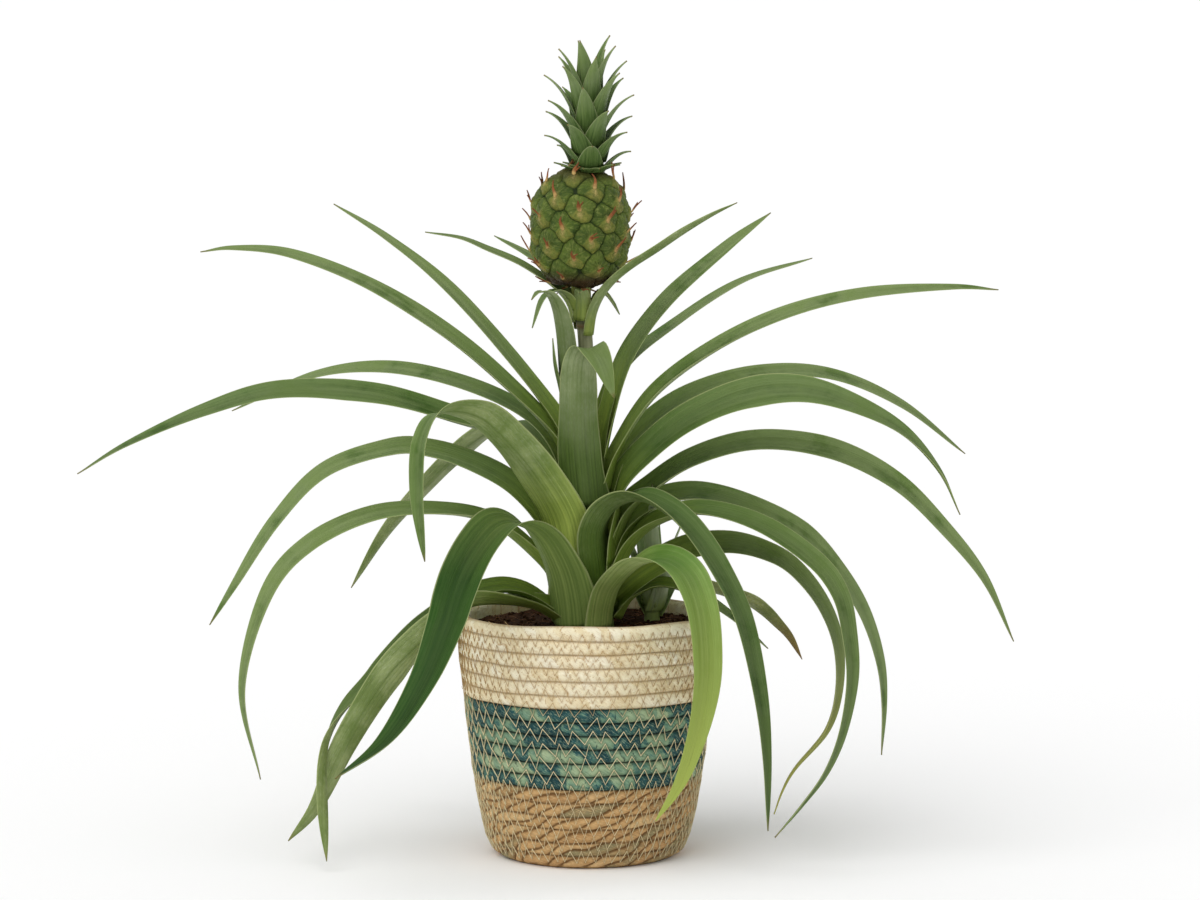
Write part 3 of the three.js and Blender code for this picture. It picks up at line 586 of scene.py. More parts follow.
fibres = thread_curve("soil_fibres", FIBRE_RADIUS)
for k in range(SOIL_FIBRES):
    radius = soil_radius(SOIL_TOP) * math.sqrt(draw.uniform(0.1, 0.95))
    angle = draw.uniform(0, math.tau)
    heading = draw.uniform(0, math.tau)
    points = []
    for step in range(6):
        x = radius * math.cos(angle) + step * 1.6 * math.cos(heading)
        y = radius * math.sin(angle) + step * 1.6 * math.sin(heading)
        heading += draw.uniform(-0.6, 0.6)
        lift = 0.4 + 1.1 * math.sin(step / 5 * math.pi) * draw.random()
        points.append(Vector((x, y, soil_height(x, y) + lift)) * MM)
    if max(point.xy.length for point in points) < soil_radius(SOIL_TOP) * MM:
        add_line(fibres, points)
fibre, tree, shader = material("coir_fibre", 0.8)
tones = cloud(tree, own_place(tree), 90.0)
tint = mix(tree, ramp(tree, tones, 0.35, 0.65), srgb(110, 68, 40), srgb(170, 118, 74))
tree.links.new(tint, shader.inputs["Base Color"])
placed("coir_fibres", fibres, fibre, "soil")

# Stem
# The short thick stem that every leaf clasps, and the fruit's stalk that it grows into above.
# It is one growing piece: green below, grey-brown higher up, with a ringed joint near the fruit.
STEM_FOOT = 92
STEM_OUTLINE = ((14, 92), (15.5, 132), (15.5, 150), (12.5, 185), (9, 215), (6, 240), (4.6, 262),
                (4.3, 285), (4.3, 308), (5.6, 330))
STEM_TOP = 333
STEM_STEPS = 48
LEAN_FROM = 250
STALK_LEAN = 4.4
STALK_JOINT = 309


def leaning(height):
    """How far the stalk has bent to the left at a height, in millimetres"""
    return STALK_LEAN * max(0, (height - LEAN_FROM) / (STEM_TOP - LEAN_FROM)) ** 2


stem_outline = [(0, STEM_FOOT)]
for height in range(STEM_FOOT, STEM_TOP):
    joint = 0.5 * math.exp(-((height - STALK_JOINT) / 1.3) ** 2)
    stem_outline.append((radius_at(STEM_OUTLINE, height) + joint, height))
stem_outline += [(5.6, STEM_TOP), (0, STEM_TOP)]
stem = spun(stem_outline, STEM_STEPS)
for vert in stem.verts:
    angle = math.atan2(vert.co.y, vert.co.x)
    vert.co.xy *= 1 + 0.03 * math.cos(5 * angle + vert.co.z * 20)
    vert.co.x -= leaning(vert.co.z / MM) * MM
stalk_skin, tree, shader = material("stalk_skin", 0.55, 0.25)
place = own_place(tree)
lines = cloud(tree, place, 1.0, 4, 0.6, (900, 900, 40))
height = part_of(tree, place, "Z")
off_joint = calc(tree, "ABSOLUTE", calc(tree, "SUBTRACT", height, STALK_JOINT * MM))
tint = stained(
    tree, srgb(112, 116, 84),
    (ramp(tree, lines, 0.3, 0.7), srgb(150, 152, 116)),
    (ramp(tree, height, 0.225, 0.262, 0.9, 0.0), srgb(96, 116, 44)),
    (ramp(tree, height, 0.312, 0.322, 0.0, 0.9), srgb(138, 148, 62)),
    (ramp(tree, off_joint, 0, 0.0025, 1, 0), srgb(118, 96, 64)))
painted(tree, shader, tint, lines, 0.0003)
finished("stem_and_stalk", stem, stalk_skin, "stem", "stem")

# Leaves
# Long channelled blades: a dark, finely veined top, a pale underside with silvery scales and
# a thin pale margin. Each clasps the stem with a broad, yellow-green foot.
# A row gives the name, the finish, the bearing (0 is +X, 90 is +Y), the width, the twist at the
# foot, the middle and the tip, and the midrib's points: distance out, height, shift to the side.
# Angles are in degrees and lengths in millimetres.
STALK_LEAVES = [
    ("stalk_leaf_right", "stalk", -50, 6.5, (0, -30, -35),
     [(4.2, 304, -2.5), (7, 316, -2.5), (12, 326, -1.5), (19, 334), (29, 341), (43, 349),
      (62, 358.5), (84.5, 370), (109, 381), (130, 389)]),
    ("stalk_leaf_left", "stalk", 165, 8, (0, -18, -20),
     [(7.4, 311, 0.5), (11, 322), (18, 330), (28, 337), (42, 345), (60, 352), (76, 358),
      (98, 361)]),
    ("stalk_leaf_behind", "stalk", 130, 7, (0, -15, -25),
     [(6.5, 307, 1.5), (12, 320, 1), (24, 332), (38, 340), (56, 347), (86, 355)]),
    ("stalk_leaf_rolled", "stalk", 265, 11, (0, 0, 0),
     [(5.4, 313, -2.3), (7, 321, -2.5), (10, 328, -2.7), (15, 332, -2.8), (20, 330, -3)]),
    ("stalk_bract_left", "stalk", 215, 7, (0, 0, 0),
     [(7.4, 318, -1.5), (13, 327, -1), (23, 331), (32, 326), (39, 310)]),
    ("stalk_bract_right", "stalk", 15, 8, (0, 20, 30),
     [(2.6, 320, 0.7), (6, 327, 0.4), (10, 328), (15, 322), (19, 315)]),
]
LEAVES = [
    ("heart_leaf_left", "pale", 188, 12, (0, 0, 0),
     [(7.5, 237), (12, 258), (18.5, 283), (20.5, 302)]),
    ("heart_leaf_curled", "pale", 230, 18, (0, 0, 0),
     [(7.5, 240, -2), (9, 260, -4), (13, 290, -5), (18, 311, -4), (25, 323, -2), (35, 331),
      (44, 332), (50, 328)]),
    ("heart_leaf_front", "pale", 270, 25, (0, 0, 20),
     [(10, 206, -2), (13, 238, -5), (16, 268, -5.5), (21, 291, -4.5), (29, 300, 1), (40, 293, 8),
      (49, 273, 15)]),
    ("right_leaf_1", "light", 30, 16, (0, 18, 28),
     [(8, 232), (14.5, 257), (27, 291), (54.5, 322), (93, 350), (124, 369)]),
    ("left_leaf_1", "light", 150, 15, (0, -7, -14),
     [(8, 229), (21.5, 254), (56, 291.5), (99, 329.5), (136.5, 353.5), (174, 372)]),
    ("right_leaf_2", "light", 50, 12, (0, 0, 12),
     [(7, 226), (15, 257), (33, 283), (79, 303.5), (143, 324), (211, 332.5)]),
    ("left_leaf_2", "light", 170, 18, (0, -22, -26),
     [(9, 220), (19, 245.5), (51, 277), (85, 304), (130, 331), (176, 347.5), (210, 350.5),
      (230, 348)]),
    ("right_leaf_3", "light", 10, 17, (0, 20, 36),
     [(9, 213), (17, 236.5), (39, 269), (75, 295), (118, 314.5), (163, 324.5), (216, 327.5),
      (244, 325.5)]),
    ("back_leaf_1", "green", 92, 17, (0, 0, 0),
     [(9.5, 210), (22, 232), (55, 246), (95, 240), (130, 215), (156, 180), (170, 142)]),
    ("left_leaf_3", "light", 145, 16, (0, -24, -40),
     [(10, 204), (22, 236), (45, 255), (90, 269), (146, 274.5), (201, 266.5), (264, 240.5)]),
    ("right_leaf_4", "light", 35, 16, (0, 26, 62),
     [(10.5, 200), (21, 229), (41, 248.5), (75, 265), (124, 273), (177, 268.5), (231, 246.5),
      (280, 213)]),
    ("right_leaf_5", "green", -10, 26, (24, 50, -12),
     [(12.5, 172), (13, 192), (19, 217), (38, 239), (61, 256.5), (92, 270), (123, 274),
      (152, 267.5), (183, 252), (205, 229), (217, 204)]),
    ("left_leaf_4", "green", 185, 21, (0, -38, -12),
     [(11.5, 194), (24, 229), (45, 246), (77, 256.5), (123, 270), (178, 273), (222, 261.5),
      (266, 243), (295, 226)]),
    ("left_leaf_5", "broad", 225, 28, (24, 28, 0),
     [(14.5, 174), (22, 200), (39, 223), (61, 245.5), (88, 265), (118.5, 269.5), (132.5, 254),
      (135, 226), (133, 204), (130, 185)]),
    ("right_leaf_6", "light", 0, 23, (6, 34, 26),
     [(13.5, 162), (14.5, 180), (22, 201.5), (36, 214.5), (59, 230), (90, 240), (121, 240),
      (151, 232.5), (181, 216), (206, 191.5), (230, 161.5), (248, 124)]),
    ("left_leaf_7", "light", 135, 19, (0, 18, 14),
     [(13, 182), (26, 223), (48, 244.5), (70, 246), (92, 235.5), (112, 222), (134, 205), (173, 170),
      (204, 133)]),
    ("right_leaf_10", "deep", -40, 25, (4, -6, -8),
     [(10.5, 153, 1), (12.8, 172, -6), (14, 192, -9), (22, 207, -5), (38, 214, -2), (56.5, 209.5),
      (75.5, 198.5), (96, 178), (115, 149), (127, 107), (132.5, 70), (134, 29)]),
    ("left_leaf_6", "light", 190, 22, (-42, -20, -28),
     [(14, 166), (24, 192.5), (44, 216), (67, 229.5), (92, 238), (115, 239.5), (154, 227.5),
      (182, 199.5), (206, 163), (221, 140)]),
    ("right_leaf_7", "light", 15, 24, (0, 38, 38),
     [(14, 166), (22, 190.5), (43, 205.5), (68, 208.5), (98, 199.5), (130, 182), (152, 159),
      (168, 134.5), (178, 105), (181, 78), (180, 48)]),
    ("back_leaf_2", "green", 86, 19, (0, 0, 0),
     [(14, 166), (26, 188), (50, 196), (86, 186), (118, 158), (140, 118), (150, 74)]),
    ("right_leaf_8", "green", -15, 18, (8, 32, 4),
     [(14.5, 160), (26, 184.5), (44, 198.5), (70, 204), (104, 196), (135, 176.5), (150, 158.5, -3),
      (155.5, 136, -3), (158.5, 110, -7), (155.5, 81, -16), (148.5, 59, -28), (137, 41, -40),
      (124, 24, -50)]),
    ("left_leaf_8", "light", 195, 17, (-5, -30, -12),
     [(15, 156), (28, 174.5), (55, 196.5), (87, 204.5), (127, 203.5), (165, 187.5), (190, 159.5),
      (205, 106), (195, 52)]),
    ("right_leaf_9", "turning", -4, 20, (48, 22, 8),
     [(14.5, 150.5), (28, 162), (42.5, 171), (60, 179.5), (82, 182), (102, 177.5), (119, 168),
      (135.5, 148), (145, 125, -4), (146, 99, -10), (139.5, 76, -16), (122, 55, -23),
      (115, 43, -28), (110, 29, -30)]),
    ("back_leaf_3", "green", 100, 18, (0, 0, 0),
     [(15.5, 150), (34, 166), (62, 166), (92, 144), (112, 108), (120, 66)]),
    ("left_leaf_9", "dark", 232, 31, (0, -14, 14),
     [(16.5, 136), (20, 153), (28, 172), (45, 193), (64, 203), (82, 203), (99, 193), (112, 180),
      (121, 166), (129.5, 149.5), (150, 120), (183, 91.5), (226, 77)]),
    ("back_leaf_4", "green", 68, 17, (0, 0, 0),
     [(16, 146), (36, 156), (64, 152), (94, 126), (114, 86), (122, 42)]),
    ("right_leaf_11", "yellowing", -58, 26, (30, 0, 0),
     [(16.5, 135.6), (20, 149), (30, 164), (56, 180), (84, 184), (107, 177), (121, 159), (126, 134),
      (126, 112, -1), (124, 86, -6), (120, 61, -14), (111, 39, -24)]),
    ("left_leaf_11", "green", 182, 19, (0, -45, 90),
     [(16, 139), (30, 150.5), (42, 155.5), (55, 155.5), (74, 149), (88, 139.5), (100, 130.5, 4),
      (112, 118.5, 8), (125, 104.5, 14), (140, 91.5, 22), (149.5, 78, 30), (153.5, 63, 40),
      (154, 38, 52), (152, 7, 60)]),
    ("left_leaf_10", "grey", 195, 24, (-20, 75, 85),
     [(17, 141), (36, 149), (68, 151), (88, 140), (103, 127), (124, 103), (145, 70), (162, 35),
      (179, 15)]),
    ("right_leaf_12", "olive", 50, 15, (0, -25, -32),
     [(16, 138), (42, 149), (74, 152), (98, 147), (117, 141), (149, 130.5), (166, 121.5),
      (179, 112), (191, 102), (203, 87)]),
    ("right_leaf_13", "green", -4, 14, (8, 22, 10),
     [(16.5, 139), (23.5, 149.5), (31, 155), (40, 158.5), (51, 157.5), (65, 152), (78, 144),
      (90, 134.5), (105, 121)]),
]
LEAF_AROUND = 24
LEAF_STEP = 3.2
LEAF_FOOT_THICKNESS = 1.3
LEAF_TIP_THICKNESS = 0.7
LEAF_TIP_WIDTH = 0.5
LEAF_FOOT_CUP = 0.3
LEAF_TIP_CUP = 0.15
LEAF_FOLD = 1.45
LEAF_ROLL = 3
CURVE_PIECES = 24


def leaf_tissue():
    """Leaf colour and relief, from the blade's own coordinates, for every green finish"""
    tree = bpy.data.node_groups.new("leaf_tissue", "ShaderNodeTree")
    for name in ("Top", "Underside", "Foot", "Margin", "Tip"):
        tree.interface.new_socket(name, in_out="INPUT", socket_type="NodeSocketColor")
    for name in ("Foot Length", "Tip Share", "Vein Scale", "Bloom And Sheen"):
        tree.interface.new_socket(name, in_out="INPUT", socket_type="NodeSocketFloat")
    tree.interface.new_socket("Color", in_out="OUTPUT", socket_type="NodeSocketColor")
    for name in ("Roughness", "Height"):
        tree.interface.new_socket(name, in_out="OUTPUT", socket_type="NodeSocketFloat")
    given = tree.nodes.new("NodeGroupInput").outputs
    place = node(tree, "UVMap", uv_map="blade").outputs[0]
    scaled = node(tree, "VectorMath", {0: place, 3: given["Vein Scale"]}, operation="SCALE").outputs[0]
    under = attribute(tree, "under")
    edge = attribute(tree, "edge")
    lines = cloud(tree, scaled, 1.0, 2, 0.5, (620, 5, 1))
    veins = cloud(tree, scaled, 1.0, 3, 0.6, (1500, 14, 1))
    bands = cloud(tree, scaled, 1.0, 2, 0.5, (240, 5, 1))
    blotches = cloud(tree, own_place(tree), 34.0, 4, 0.6)
    scales = cloud(tree, scaled, 1.0, 4, 0.7, (1600, 300, 1))
    along = part_of(tree, place, "Y")
    # The tone darkens some blades at random; on the crown it is painted shade that darkens the lower
    # leaves.
    darker_tone_and_shade = mix(tree, 1.0, given["Top"], srgb(206, 232, 190), "MULTIPLY")
    top = mix(tree, attribute(tree, "tone"), given["Top"], darker_tone_and_shade)
    # Painted shade: the top is darker along the midrib, down in the channel, and lighter towards the
    # margins.
    channel = mix(tree, 1.0, top, srgb(172, 188, 150), "MULTIPLY")
    top = mix(tree, ramp(tree, edge, 0.1, 0.75, 0.75, 0.0), top, channel)
    top = mix(tree, ramp(tree, lines, 0.4, 0.7, 0.0, 0.2), top, given["Underside"])
    top = mix(tree, ramp(tree, veins, 0.55, 0.3, 0.0, 0.28), top, srgb(48, 68, 26))
    # The bloom is partly the leaves' own waxy bloom and partly a painted sheen, paler towards the outer
    # part of each blade.
    outer = ramp(tree, attribute(tree, "share"), 0.1, 0.5, 0.2, 1.0)
    bloom_and_sheen = calc(tree, "MULTIPLY", outer, ramp(tree, blotches, 0.36, 0.64, 0.1, 1.0))
    top = mix(tree, calc(tree, "MULTIPLY", bloom_and_sheen, given["Bloom And Sheen"]), top, srgb(172, 184, 136))
    below = mix(tree, ramp(tree, lines, 0.4, 0.65, 0.0, 0.35), given["Underside"], given["Top"])
    below = mix(tree, ramp(tree, scales, 0.5, 0.75, 0.0, 0.45), below, srgb(190, 198, 170))
    tint = mix(tree, under, top, below)
    dim = mix(tree, 1.0, tint, srgb(190, 200, 168), "MULTIPLY")
    tint = mix(tree, ramp(tree, bands, 0.45, 0.7, 0.0, 0.7), tint, dim)
    tint = mix(tree, ramp(tree, blotches, 0.42, 0.62, 0.0, 0.8), tint, mix(tree, 0.5, dim, given["Top"]))
    wander = calc(tree, "ADD", along, calc(tree, "MULTIPLY", calc(tree, "SUBTRACT", bands, 0.5), 0.03))
    near_foot = ramp(tree, calc(tree, "DIVIDE", wander, given["Foot Length"]), 0.3, 1.0, 0.9, 0.0)
    foot = mix(tree, ramp(tree, lines, 0.35, 0.6, 0.0, 0.5), given["Foot"], given["Top"])
    tint = mix(tree, near_foot, tint, foot)
    tint = mix(tree, ramp(tree, edge, 0.935, 0.985, 0.0, 0.8), tint, given["Margin"])
    at_tip = ramp(tree, calc(tree, "ADD", attribute(tree, "share"), calc(tree, "MULTIPLY", bands, 0.03)),
                  given["Tip Share"], 1.02, 0.0, 0.95)
    tint = mix(tree, at_tip, tint, given["Tip"])
    taken = tree.nodes.new("NodeGroupOutput").inputs
    tree.links.new(tint, taken["Color"])
    tree.links.new(ramp(tree, blotches, 0.2, 0.8, 0.42, 0.6), taken["Roughness"])
    tree.links.new(calc(tree, "ADD", veins, calc(tree, "MULTIPLY", lines, 1.2)), taken["Height"])
    return tree


tissue = leaf_tissue()


def leaf_finish(name, top, underside, foot=srgb(136, 156, 62), margin=srgb(172, 182, 124),
                tip=srgb(120, 108, 60), foot_length=0.075, tip_share=0.985, vein_scale=1.0, bloom_and_sheen=0.5):
    """One green finish, with the tissue group set to its own colours"""
    finish, tree, shader = material(name, 0.5, 0.14)
    made = tree.nodes.new("ShaderNodeGroup")
    made.node_tree = tissue
    given = {"Top": top, "Underside": underside, "Foot": foot, "Margin": margin, "Tip": tip,
             "Foot Length": foot_length, "Tip Share": tip_share, "Vein Scale": vein_scale,
             "Bloom And Sheen": bloom_and_sheen}
    for socket, value in given.items():
        made.inputs[socket].default_value = value
    tree.links.new(made.outputs["Roughness"], shader.inputs["Roughness"])
    painted(tree, shader, made.outputs["Color"], made.outputs["Height"], 0.0005)
    return finish


# "light" is painted lighter for the outer and upper leaves; "dark" is painted darker for a low leaf
# These finishes are partly the leaves' own colours and partly lit and shaded copies of one green.
# in shade, and "deep" a little darker for another. The dark foot of "deep" is painted shade between
# of "broad" and the pale underside of "yellowing" are painted light on parts that stand in shade.
# the leaves, and that of "pale" is partly its own dark streaks and partly painted shade. The pale foot
LEAF_FINISHES = {
    "green": leaf_finish("leaf_green", srgb(80, 110, 38), srgb(142, 156, 98)),
    "light": leaf_finish("leaf_light_and_lit_green", srgb(98, 126, 54), srgb(154, 166, 114), bloom_and_sheen=0.75),
    "broad": leaf_finish("leaf_broad_green", srgb(90, 120, 42), srgb(150, 164, 106), srgb(198, 216, 104),
                         foot_length=0.07, bloom_and_sheen=0.45),
    "deep": leaf_finish("leaf_deep_and_shaded_green", srgb(76, 104, 42), srgb(134, 147, 96), srgb(84, 108, 34),
                        bloom_and_sheen=0.25),
    "dark": leaf_finish("leaf_dark_and_shaded_green", srgb(40, 80, 16), srgb(104, 130, 62), srgb(148, 168, 92),
                        foot_length=0.15, bloom_and_sheen=0.06),
    "yellowing": leaf_finish("leaf_yellow_green", srgb(96, 136, 50), srgb(194, 206, 140),
                             srgb(168, 184, 106), tip=srgb(178, 192, 92), tip_share=0.4, bloom_and_sheen=0.25),
    "turning": leaf_finish("leaf_turning_yellow", srgb(92, 114, 48), srgb(142, 152, 98),
                           tip=srgb(160, 158, 74), tip_share=0.6),
    "olive": leaf_finish("leaf_olive", srgb(92, 104, 44), srgb(130, 138, 78), tip=srgb(128, 96, 52),
                         tip_share=0.8, bloom_and_sheen=0.2),
    "grey": leaf_finish("leaf_grey_green", srgb(92, 116, 50), srgb(148, 162, 106), bloom_and_sheen=0.65),
    "pale": leaf_finish("leaf_pale", srgb(96, 120, 54), srgb(152, 164, 120), srgb(56, 78, 20),
                        foot_length=0.085, bloom_and_sheen=0.5),
    "stalk": leaf_finish("stalk_leaf_green", srgb(94, 118, 56), srgb(144, 158, 106), srgb(150, 164, 78),
                         foot_length=0.02),
}


def smooth_line(points, steps):
    """Points set evenly along the smooth curve through the given ones, and its length"""
    ends = [2 * points[0] - points[1], *points, 2 * points[-1] - points[-2]]
    fine = []
    for before, first, second, after in zip(ends, ends[1:], ends[2:], ends[3:]):
        for k in range(CURVE_PIECES):
            t = k / CURVE_PIECES
            fine.append(first + 0.5 * t * ((second - before)
                        + t * (2 * before - 5 * first + 4 * second - after
                               + t * (3 * first - before - 3 * second + after))))
    fine.append(points[-1])
    reach = [0.0]
    for first, second in zip(fine, fine[1:]):
        reach.append(reach[-1] + (second - first).length)
    line = []
    k = 0
    for step in range(steps + 1):
        wanted = reach[-1] * step / steps
        while k < len(fine) - 2 and reach[k + 1] < wanted:
            k += 1
        line.append(fine[k].lerp(fine[k + 1], (wanted - reach[k]) / (reach[k + 1] - reach[k])))
    return line, reach[-1]


def blade_layers(bm):
    """What a blade's material reads in its mesh"""
    return (bm.loops.layers.uv.new("blade"), bm.loops.layers.float.new("edge"),
            bm.loops.layers.float.new("share"), bm.loops.layers.float.new("under"),
            bm.verts.layers.float.new("tone"))


def add_blade(bm, layers, sections, around, shade=0.5):
    """A closed blade with rounded edges. A section is its middle, the directions across and up,
    its width, the depth of its channel as a share of the width, and its thickness."""
    steps = len(sections) - 1
    made = bmesh.ops.create_grid(bm, x_segments=around, y_segments=steps, size=0.5)["verts"]
    blade, edge, share, under, tone = layers
    length = [0.0]
    for first, second in zip(sections, sections[1:]):
        length.append(length[-1] + (second[0] - first[0]).length)
    for face in {face for vert in made for face in vert.link_faces}:
        lower = face.calc_center_median().x > 0
        for loop in face.loops:
            x, y, _ = loop.vert.co
            row = round((y + 0.5) * steps)
            across = math.cos((x + 0.5) * math.tau)
            loop[blade].uv = (across * sections[row][3] / 2 + (0.05 if lower else 0), length[row])
            loop[edge] = abs(across)
            loop[share] = row / steps
            loop[under] = float(lower)
    for vert in made:
        row = round((vert.co.y + 0.5) * steps)
        angle = (vert.co.x + 0.5) * math.tau
        # The tone is random on most blades; on the crown it is painted shade on the lower leaves.
        vert[tone] = shade
        middle, sideways, up, width, cup, thickness = sections[row]
        across = math.cos(angle)
        bulge = math.copysign(abs(math.sin(angle)) ** 0.7, math.sin(angle)) * thickness / 2
        fold = cup * width * (abs(across) ** LEAF_FOLD - 0.5)
        vert.co = middle + sideways * across * width / 2 + up * (fold + bulge)
    bmesh.ops.remove_doubles(bm, verts=made, dist=1e-7)


def close_blades(bm):
    """Caps the blades' two ends and turns every face outwards"""
    bmesh.ops.holes_fill(bm, edges=[e for e in bm.edges if e.is_boundary], sides=0)
    bmesh.ops.recalc_face_normals(bm, faces=bm.faces)


def along_three(values, share):
    """A value that runs from the first of three to the middle one and on to the last"""
    first, middle, last = values
    if share < 0.5:
        return first + (middle - first) * share * 2
    return middle + (last - middle) * (share * 2 - 1)


def leaf_sections(bearing, width, twist, rib):
    """The sections of a leaf of the table, in metres"""
    angle = math.radians(bearing)
    outward = Vector((math.cos(angle), math.sin(angle), 0))
    sideways = Vector((-math.sin(angle), math.cos(angle), 0))
    points = []
    for out, height, *side in rib:
        aside = sideways * (side[0] if side else 0)
        points.append((outward * out + aside + Vector((0, 0, height))) * MM)
    length = sum((b - a).length for a, b in zip(points, points[1:])) / MM
    steps = round(length / LEAF_STEP)
    line, _ = smooth_line(points, steps)
    phase = chance(bearing, width) * math.tau
    sections = []
    for step, middle in enumerate(line):
        share = step / steps
        along = (line[min(step + 1, steps)] - line[max(step - 1, 0)]).normalized()
        flat = (sideways - along * sideways.dot(along)).normalized()
        up = along.cross(flat)
        turn = math.radians(along_three(twist, share) + LEAF_ROLL * math.sin(share * 9 + phase) * share)
        across = flat * math.cos(turn) + up * math.sin(turn)
        taper = (1 + 0.25 * (1 - share) ** 6) * (1 - 0.2 * share) * (1 - share ** 4) ** 0.8
        cup = LEAF_TIP_CUP + (LEAF_FOOT_CUP - LEAF_TIP_CUP) * max(0, 1 - share * 1.6)
        cup *= 1 + 0.2 * math.sin(share * 14 + phase)
        thick = LEAF_FOOT_THICKNESS + (LEAF_TIP_THICKNESS - LEAF_FOOT_THICKNESS) * share
        wide = max(width * taper * (1 + 0.02 * math.sin(share * 23 + phase)), LEAF_TIP_WIDTH)
        sections.append((middle, across, along.cross(across), wide * MM, cup, thick * MM))
    return sections


def add_leaf(name, look, bearing, width, twist, rib):
    """One leaf of the table, which replaces the CAD leaf of its name"""
    leaf = bmesh.new()
    sections = leaf_sections(bearing, width, twist, rib)
    add_blade(leaf, blade_layers(leaf), sections, LEAF_AROUND, chance(name, "tone"))
    close_blades(leaf)
    finished(name + "_blade", leaf, LEAF_FINISHES[look], "leaf", name)


for row in STALK_LEAVES + LEAVES:
    add_leaf(*row)

# Offset
# A young side shoot of the same plant, with short, stiff, pale leaves round a core. It stands
# in the soil by the stem.
GOLDEN_ANGLE = math.radians(137.508)
OFFSET_AT = (37.5, 20)
OFFSET_FOOT = 116
OFFSET_CORE = ((4.5, 0), (4.5, 28), (2, 40))
OFFSET_LEAVES = 8
OFFSET_FIRST_BEARING = math.radians(27)
OFFSET_HEIGHTS = (20.5, 30.5)
OFFSET_RADII = (3, 1.5)
OFFSET_LENGTHS = (38, 72)
OFFSET_LEAF_WIDTH = 14
OFFSET_LEANS = (0.55, 0.12)
OFFSET_CURL = 0.35
OFFSET_STEPS = 24
TUFT_AROUND = 14
TUFT_THICKNESS = 0.9


def between(pair, share):
    """A value that runs from the first of two to the second"""
    return pair[0] + (pair[1] - pair[0]) * share


def tuft_core(core, x, y, bottom, steps):
    """The short core that a tuft's leaves grow from"""
    outline = [(radius, bottom + height) for radius, height in core]
    bm = spun([(0, bottom), *outline, (0, outline[-1][1])], steps)
    bmesh.ops.translate(bm, verts=bm.verts, vec=Vector((x, y, 0)) * MM)
    return bm


def tuft_sections(base, angle, radius, height, length, width, lean, curl, steps, keel, fullness):
    """The sections of a short pointed leaf that leans out and curls out more at its tip. Its
    channel is as deep as keel, and it stays broad for longer where fullness is higher."""
    outward = Vector((math.cos(angle), math.sin(angle), 0))
    sideways = Vector((-outward.y, outward.x, 0))
    point = Vector(base) + outward * radius + Vector((0, 0, height))
    sections = []
    for step in range(steps + 1):
        share = step / steps
        tilt = lean + curl * share * share
        along = outward * math.sin(tilt) + Vector((0, 0, math.cos(tilt)))
        up = along.cross(sideways)
        wide = max(width * (1 - share ** fullness), 0.5)
        middle = point - up * (keel * 0.5 * wide / width)
        sections.append((middle * MM, sideways, up, wide * MM, keel / width, TUFT_THICKNESS * MM))
        point = point + along * length / steps
    return sections


offset = tuft_core(OFFSET_CORE, *OFFSET_AT, OFFSET_FOOT, OFFSET_STEPS)
layers = blade_layers(offset)
for k in range(OFFSET_LEAVES):
    share = k / (OFFSET_LEAVES - 1)
    sections = tuft_sections((*OFFSET_AT, OFFSET_FOOT), k * GOLDEN_ANGLE + OFFSET_FIRST_BEARING,
                             between(OFFSET_RADII, share), between(OFFSET_HEIGHTS, share),
                             between(OFFSET_LENGTHS, share), OFFSET_LEAF_WIDTH,
                             between(OFFSET_LEANS, share), OFFSET_CURL, OFFSET_STEPS,
                             keel=1.8, fullness=1.45)
    add_blade(offset, layers, sections, TUFT_AROUND, chance(k, "offset"))
close_blades(offset)
# The shoot's pale grey-green is painted lighter still: painted light on a shoot that stands in the shade
# of the big leaves.
young_and_lit = leaf_finish("young_and_lit_leaf", srgb(156, 178, 128), srgb(204, 216, 184), srgb(168, 188, 104),
                    foot_length=0.012)
finished("offset_shoot", offset, young_and_lit, "offset_leaf", "offset")

# Fruit
# A barrel of fused berries. Each eye is a wrinkled dome between deep grooves, and the bract
# that grows over its lower half rises to a point in its middle.
FRUIT_BOTTOM = 333.4
FRUIT_HEIGHT = 64.6
FRUIT_RADIUS = 27
FRUIT_POWER = 2.6
FRUIT_EYES = 52
FRUIT_SLICES = 400
FRUIT_RINGS = 210
FRUIT_STEPS = 380
EYE_RISE = 3.0
EYE_SUNK = 0.75
GROOVE_WIDTH = 2.6
EYE_RADIUS = 9.6
EYE_WRINKLES = 9
BEND_SIZE = 5
BEND_REACH = 1.3
BEND_SEED = 5


def fruit_point(v, angle):
    """A point of the barrel at a height share from -1, its bottom, to 1, its top"""
    radius = FRUIT_RADIUS * (1 - min(abs(v), 1) ** FRUIT_POWER) ** (1 / FRUIT_POWER)
    height = FRUIT_BOTTOM + FRUIT_HEIGHT * 0.5 * (1 + v)
    return Vector((radius * math.cos(angle) - STALK_LEAN, radius * math.sin(angle), height))


def even_shares(count):
    """Height shares that give each eye the same area of skin"""
    sums = [0.0]
    for k in range(FRUIT_SLICES):
        low = fruit_point(-1 + 2 * k / FRUIT_SLICES, 0)
        high = fruit_point(-1 + 2 * (k + 1) / FRUIT_SLICES, 0)
        sums.append(sums[-1] + (high - low).length * (low.x + high.x + 2 * STALK_LEAN) / 2)
    wanted = [sums[-1] * (i + 0.5) / count for i in range(count)]
    slices = [next(k for k, total in enumerate(sums) if total >= area) for area in wanted]
    return [-1 + 2 * k / FRUIT_SLICES for k in slices]


def eye_frame(v, angle):
    """The middle of an eye and the directions to its side, up the fruit and out of it"""
    side = Vector((-math.sin(angle), math.cos(angle), 0))
    above = fruit_point(min(v + 0.005, 1), angle)
    below = fruit_point(max(v - 0.005, -1), angle)
    rise = (above - below).normalized()
    return fruit_point(v, angle), side, rise, side.cross(rise).normalized()


